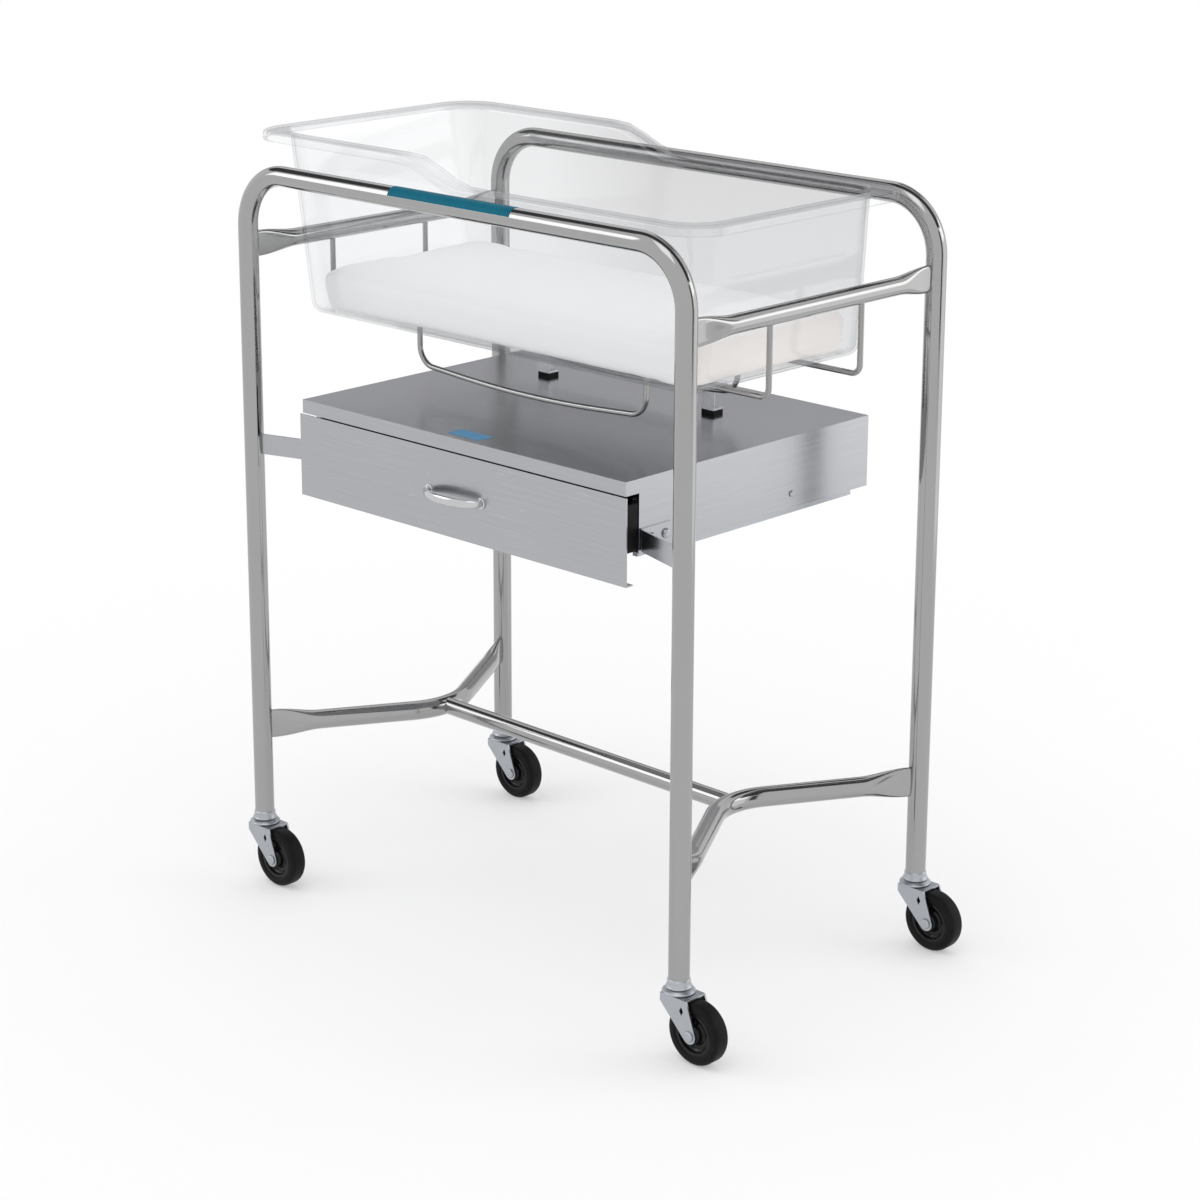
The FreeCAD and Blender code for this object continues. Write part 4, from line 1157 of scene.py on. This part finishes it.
class BASSINET_OT_mattress(bpy.types.Operator):
    """Builds the mattress: a crowned pad with soft edges, blown up a little by its filling"""

    bl_idname = "bassinet.mattress"
    bl_label = "Mattress"

    def execute(self, context):
        low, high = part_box("mattress")
        pad = self.blank(low, high)
        pad = self.puffed(pad, low, high)
        smooth = pad.modifiers.new("smooth", "SUBSURF")
        smooth.levels = 1
        smooth.render_levels = 1
        pad = settled(pad)
        pad.data.shade_smooth()
        place_piece(pad, "mattress", "cover", ["mattress"])
        return {"FINISHED"}

    def blank(self, low, high):
        """The cut shape: a shallow pillow a little smaller than its place, wider at the top."""
        form = sizes("basket")
        basket_low, basket_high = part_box("basket")
        lean = (high.z - low.z) / (basket_high.z - basket_low.z)
        room = 0.0015
        rings = []
        levels = 10
        for level in range(levels + 1):
            share = level / levels
            round_off = 0.005 * (1 - math.sqrt(max(0.0, 1 - abs(2 * share - 1) ** 5)))
            inwards = lean * (1 - share)
            rings.append(rounded_ring(
                low.x + form.head_draft * inwards + room + round_off,
                high.x - form.foot_draft * inwards - room - round_off,
                high.y - form.side_draft * inwards - room - round_off,
                form.floor_corner, low.z + room + share * (high.z - low.z - 2 * room), 8, 28,
            ))
        piece = loft("soft_mattress", rings)
        remesh = piece.modifiers.new("remesh", "REMESH")
        remesh.mode = "VOXEL"
        remesh.voxel_size = 0.006
        return settled(piece)

    def puffed(self, pad, low, high):
        """Blows the pad up a little as cloth, and keeps it in its place."""
        rest = [vertex.co.copy() for vertex in pad.data.vertices]
        cloth = pad.modifiers.new("cloth", "CLOTH")
        cloth.settings.use_pressure = True
        cloth.settings.uniform_pressure_force = 4
        cloth.settings.effector_weights.gravity = 0
        cloth.settings.quality = 6
        scene = bpy.context.scene
        for step in range(1, 21):
            scene.frame_set(step)
        depsgraph = bpy.context.evaluated_depsgraph_get()
        moved = pad.evaluated_get(depsgraph).data
        limit = 0.008
        places = []
        for vertex, start in zip(moved.vertices, rest):
            shift = vertex.co - start
            if shift.length > limit:
                shift = shift.normalized() * limit
            end = start + shift
            end.x = min(max(end.x, low.x + 0.0005), high.x - 0.0005)
            end.y = min(max(end.y, low.y + 0.0005), high.y - 0.0005)
            end.z = min(max(end.z, low.z + 0.0004), high.z + 0.006)
            places.append(end)
        pad.modifiers.clear()
        for vertex, place in zip(pad.data.vertices, places):
            vertex.co = place
        scene.frame_set(1)
        return pad


# ---------------------------------------------------------------- casters


class BASSINET_OT_caster_mounts(bpy.types.Operator):
    """Builds the collars, races, stems and sleeves under the legs"""

    bl_idname = "bassinet.caster_mounts"
    bl_label = "Caster Mounts"

    def execute(self, context):
        bore = sizes("caster").mount_bore
        legs = leg_places()
        leg_x = legs["front_left"].x
        places = [(foot.x, foot.y, 0) for foot in legs.values()]
        tube_r = tube_radius()
        low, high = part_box("caster_collars")
        collar_r = leg_x - low.x
        self.turned("leg_collars", "caster_collars", places, 44, [
            (bore, low.z), (collar_r - 0.002, low.z),
            *arc((collar_r - 0.001, low.z + 0.0016), 0.001, -60, 60, 4),
            (tube_r + 0.0012, low.z + 0.0052), (tube_r + 0.001, high.z - 0.001),
            (tube_r, high.z), (bore, high.z),
        ])
        low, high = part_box("caster_races")
        race_r = leg_x - low.x
        self.turned("swivel_races", "caster_races", places, 48, [
            (bore, low.z), (race_r - 0.002, low.z),
            *arc((race_r - 0.0012, low.z + 0.0012), 0.0012, -90, 60, 5),
            (race_r - 0.0035, high.z - 0.0008), (race_r - 0.006, high.z), (bore, high.z),
        ])
        for node, finish in (("caster_stems", "zinc"), ("caster_sleeves", "rubber")):
            dressed(node + "_set", [node], "frame", finish, 0.0004, 1)
        dressed("race_balls", ["caster_balls"], "frame", "chrome", FINE_EDGE / 3, 1, 80)
        return {"FINISHED"}

    def turned(self, name, node, places, steps, profile):
        """A turned piece under every leg; the profile's points are (radius, height)."""
        source = lathe(name + "_source", profile, Vector(), UP, steps)
        place_piece(scattered(name, source, places, "zinc"), "frame", "zinc", [node])


class BASSINET_OT_casters(bpy.types.Operator):
    """Builds the forks, axles, tyres and wheel cores"""

    bl_idname = "bassinet.casters"
    bl_label = "Casters"

    def execute(self, context):
        for corner in leg_places():
            swivel = corner + "_swivel"
            dressed(corner + "_yoke", [corner + "_fork"], swivel, "zinc", 0.0007)
            dressed(corner + "_axle_bolt", [corner + "_axle"], swivel, "zinc", 0.0004, 1)
            self.wheel(corner, sizes("caster"))
        return {"FINISHED"}

    def wheel(self, corner, form):
        """Tyre with rounded shoulders, and a dished core with a hub."""
        low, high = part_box(corner + "_tyre")
        centre = (low + high) / 2
        radius, half = (high.z - low.z) / 2, (high.y - low.y) / 2
        low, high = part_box(corner + "_wheel_core")
        core_r, hub_half = (high.z - low.z) / 2, (high.y - low.y) / 2

        bend = radius - form.shoulder
        tyre = self.both_faces([
            (core_r, half - 0.0012), (core_r + 0.003, half), (bend - 0.002, half - 0.0002),
            *reversed(arc((bend, half - form.shoulder), form.shoulder, 6, 88, 8)),
        ], [(radius, 0.0)])
        piece = lathe(corner + "_rubber_tyre", tyre, centre, BACK, 72)
        place_piece(piece, corner + "_wheel", "rubber", [corner + "_tyre"])

        web, hub, rim_half = form.web, form.hub, half - form.rim_inset
        core = self.both_faces([
            (form.bore, hub_half), (hub - 0.001, hub_half), (hub, hub_half - 0.001),
            (hub + 0.0012, web + 0.002), (hub + 0.0035, web),
            (core_r - 0.007, web), (core_r - 0.0048, web + 0.0018),
            (core_r - 0.004, rim_half - 0.0008), (core_r - 0.0032, rim_half), (core_r, rim_half),
        ])
        piece = lathe(corner + "_core", core, centre, BACK, 72)
        place_piece(piece, corner + "_wheel", "core", [corner + "_wheel_core"])

    def both_faces(self, profile, middle=()):
        """Profile of one face of a wheel, inside out, mirrored to the other face."""
        return [(r, -along) for r, along in profile] + list(middle) + profile[::-1]


# ---------------------------------------------------------------- the studio


def reflected_card(name, rows, color, strength=1.0):
    """Bent card between rows of two points, which only polished surfaces show."""
    shape = bmesh.new()
    corners = [[shape.verts.new(point) for point in row] for row in rows]
    for row, after in zip(corners, corners[1:]):
        shape.faces.new((*row, *reversed(after)))
    piece = from_bmesh(name, shape, smooth=False)
    made, nodes = new_material(name)
    nodes.finish(nodes.surface("ShaderNodeEmission", {"Color": color, "Strength": strength}))
    piece.data.materials.append(made)
    piece.visible_camera = False
    piece.visible_diffuse = False
    piece.visible_shadow = False
    piece.visible_transmission = False


def flat_card(name, centre, width, height, facing, color, strength=1.0):
    """Card that faces a direction."""
    centre, facing = Vector(centre), Vector(facing)
    side = facing.cross(UP).normalized() * width / 2
    rise = side.cross(facing).normalized() * height / 2
    rows = [(centre + side * end - rise, centre + side * end + rise) for end in (-1, 1)]
    reflected_card(name, rows, color, strength)


class BASSINET_OT_stage(bpy.types.Operator):
    """Builds the floor, the lamps, the sky and the camera"""

    bl_idname = "bassinet.stage"
    bl_label = "Studio"

    def execute(self, context):
        studio = sizes("studio")
        self.floor(studio)
        self.sky(studio)
        self.dark_arch()
        dark, grey, white = (0.085, 0.085, 0.09), (0.50, 0.50, 0.52), (1, 1, 1)
        flat_card("high_rear_card", (-0.5, 2.3, 2.9), 1.6, 1.0, (0, -1, -0.9), dark)
        flat_card("right_card", (2.9, 0.7, 1.25), 0.7, 2.0, (-1, -0.3, 0), dark)
        flat_card("side_card", (1.45, 1.65, 0.6), 1.6, 1.2, (-1, -1, 0), white, 1.4)
        flat_card("rear_left_card", (-2.4, 2.5, 1.3), 4.6, 1.5, (1, -1, 0), grey)
        self.lamp("key_lamp", (-2.16, -2.0, 2.0), 1.3, studio.key_power)
        self.lamp("top_lamp", (0.5, -1.0, 3.1), 1.4, studio.top_power)
        self.lamp("rim_lamp", (2.2, 2.2, 1.5), 1.8, studio.rim_power)
        self.camera()
        context.scene.view_settings.view_transform = "Standard"
        return {"FINISHED"}

    def floor(self, studio):
        """Pale floor that fades into the background away from the object."""
        half, z = studio.floor_size / 2, -0.0004
        shape = bmesh.new()
        corners = [(-half, -half, z), (half, -half, z), (half, half, z), (-half, half, z)]
        shape.faces.new([shape.verts.new(corner) for corner in corners])
        floor = from_bmesh("floor", shape, smooth=False)
        made, nodes = new_material("pale_floor")
        x, y = nodes.axes(nodes.coordinates())[:2]
        distance = (x * x + y * y) ** 0.5
        far = nodes.ramp(distance / 3, (0.15, 0.3), (0.6, 1.0))
        matt = nodes.surface("ShaderNodeBsdfDiffuse", {"Color": (0.93, 0.93, 0.935)})
        white = nodes.surface("ShaderNodeEmission", {"Color": (1, 1, 1), "Strength": 1.0})
        nodes.finish(nodes.mixed(far, matt, white))
        floor.data.materials.append(made)

    def sky(self, studio):
        """Even studio light; the camera and polished surfaces see white."""
        world = bpy.data.worlds.new("studio")
        world.use_nodes = True
        bpy.context.scene.world = world
        nodes = Nodes(world.node_tree)
        path = nodes.node("ShaderNodeLightPath")
        seen = sum(nodes.value(path, "Is %s Ray" % kind) for kind in ("Camera", "Transmission", "Glossy"))
        even, white = (
            nodes.surface("ShaderNodeBackground", {"Color": (1, 1, 1), "Strength": strength})
            for strength in (studio.sky, 1.0)
        )
        nodes.finish(nodes.mixed(seen.clamped(), even, white), "World")

    def dark_arch(self):
        """Dark band over the object that draws the lines in the polished tubes."""
        hub, reach = Vector((0.3, -0.2, 0.9)), 3.0
        ways = [
            Vector(way).normalized() for way in (
                (-0.86, -0.02, 0.36), (-0.72, 0.05, 0.67), (-0.52, 0.14, 0.82), (-0.28, 0.22, 0.94),
                (0.0, 0.32, 0.95), (0.30, 0.41, 0.86), (0.54, 0.48, 0.68), (0.73, 0.51, 0.45),
            )
        ]
        rows = []
        for index, way in enumerate(ways):
            before, after = ways[max(index - 1, 0)], ways[min(index + 1, len(ways) - 1)]
            side = (after - before).cross(way).normalized() * (0.78 + 0.02 * index)
            rows.append((hub + way * reach - side, hub + way * reach + side))
        reflected_card("dark_arch", rows, (0.085, 0.085, 0.09))

    def lamp(self, name, place, size, power):
        """Large soft lamp aimed at the middle of the object."""
        data = bpy.data.lights.new(name, "AREA")
        data.size = size
        data.energy = power
        lamp = link(name, data)
        lamp.location = place
        lamp.rotation_euler = (Vector(place) - UP * 0.5).to_track_quat("Z", "Y").to_euler()
        lamp.visible_camera = False

    def camera(self):
        """Camera at three quarters from the front right, a little above the basket."""
        data = bpy.data.cameras.new("camera")
        data.lens = 88.02
        data.sensor_width = 36
        data.shift_x = 0.032
        data.shift_y = -0.1
        camera = link("camera", data)
        camera.location = (2.4265, -2.525, 1.546)
        camera.rotation_euler = (math.radians(90 - 15.45), 0, math.radians(44.50))
        bpy.context.scene.camera = camera


# ---------------------------------------------------------------- add-on


OPERATORS = (
    BASSINET_OT_stage,
    BASSINET_OT_frame_tubes,
    BASSINET_OT_end_rails,
    BASSINET_OT_cradle,
    BASSINET_OT_welds,
    BASSINET_OT_cabinet,
    BASSINET_OT_drawer,
    BASSINET_OT_pull,
    BASSINET_OT_fasteners,
    BASSINET_OT_basket,
    BASSINET_OT_mattress,
    BASSINET_OT_caster_mounts,
    BASSINET_OT_casters,
)


class BASSINET_PT_panel(bpy.types.Panel):
    """Lists the bassinet's pieces, sizes and finishes"""

    bl_idname = "BASSINET_PT_panel"
    bl_label = "Bassinet"
    bl_space_type = "VIEW_3D"
    bl_region_type = "UI"
    bl_category = "Bassinet"

    def draw(self, context):
        for group, kind in GROUPS.items():
            box = self.layout.box()
            for name in kind.__annotations__:
                box.prop(getattr(context.scene, group), name)
        for operator in OPERATORS:
            self.layout.operator(operator.bl_idname)


def register():
    for group, kind in GROUPS.items():
        bpy.utils.register_class(kind)
        setattr(bpy.types.Scene, group, PointerProperty(type=kind))
    for operator in OPERATORS:
        bpy.utils.register_class(operator)
    bpy.utils.register_class(BASSINET_PT_panel)


def unregister():
    bpy.utils.unregister_class(BASSINET_PT_panel)
    for operator in reversed(OPERATORS):
        bpy.utils.unregister_class(operator)
    for group, kind in GROUPS.items():
        delattr(bpy.types.Scene, group)
        bpy.utils.unregister_class(kind)


def main():
    register()
    for operator in OPERATORS:
        family, name = operator.bl_idname.split(".")
        getattr(getattr(bpy.ops, family), name)()


if __name__ == "__main__":
    main()
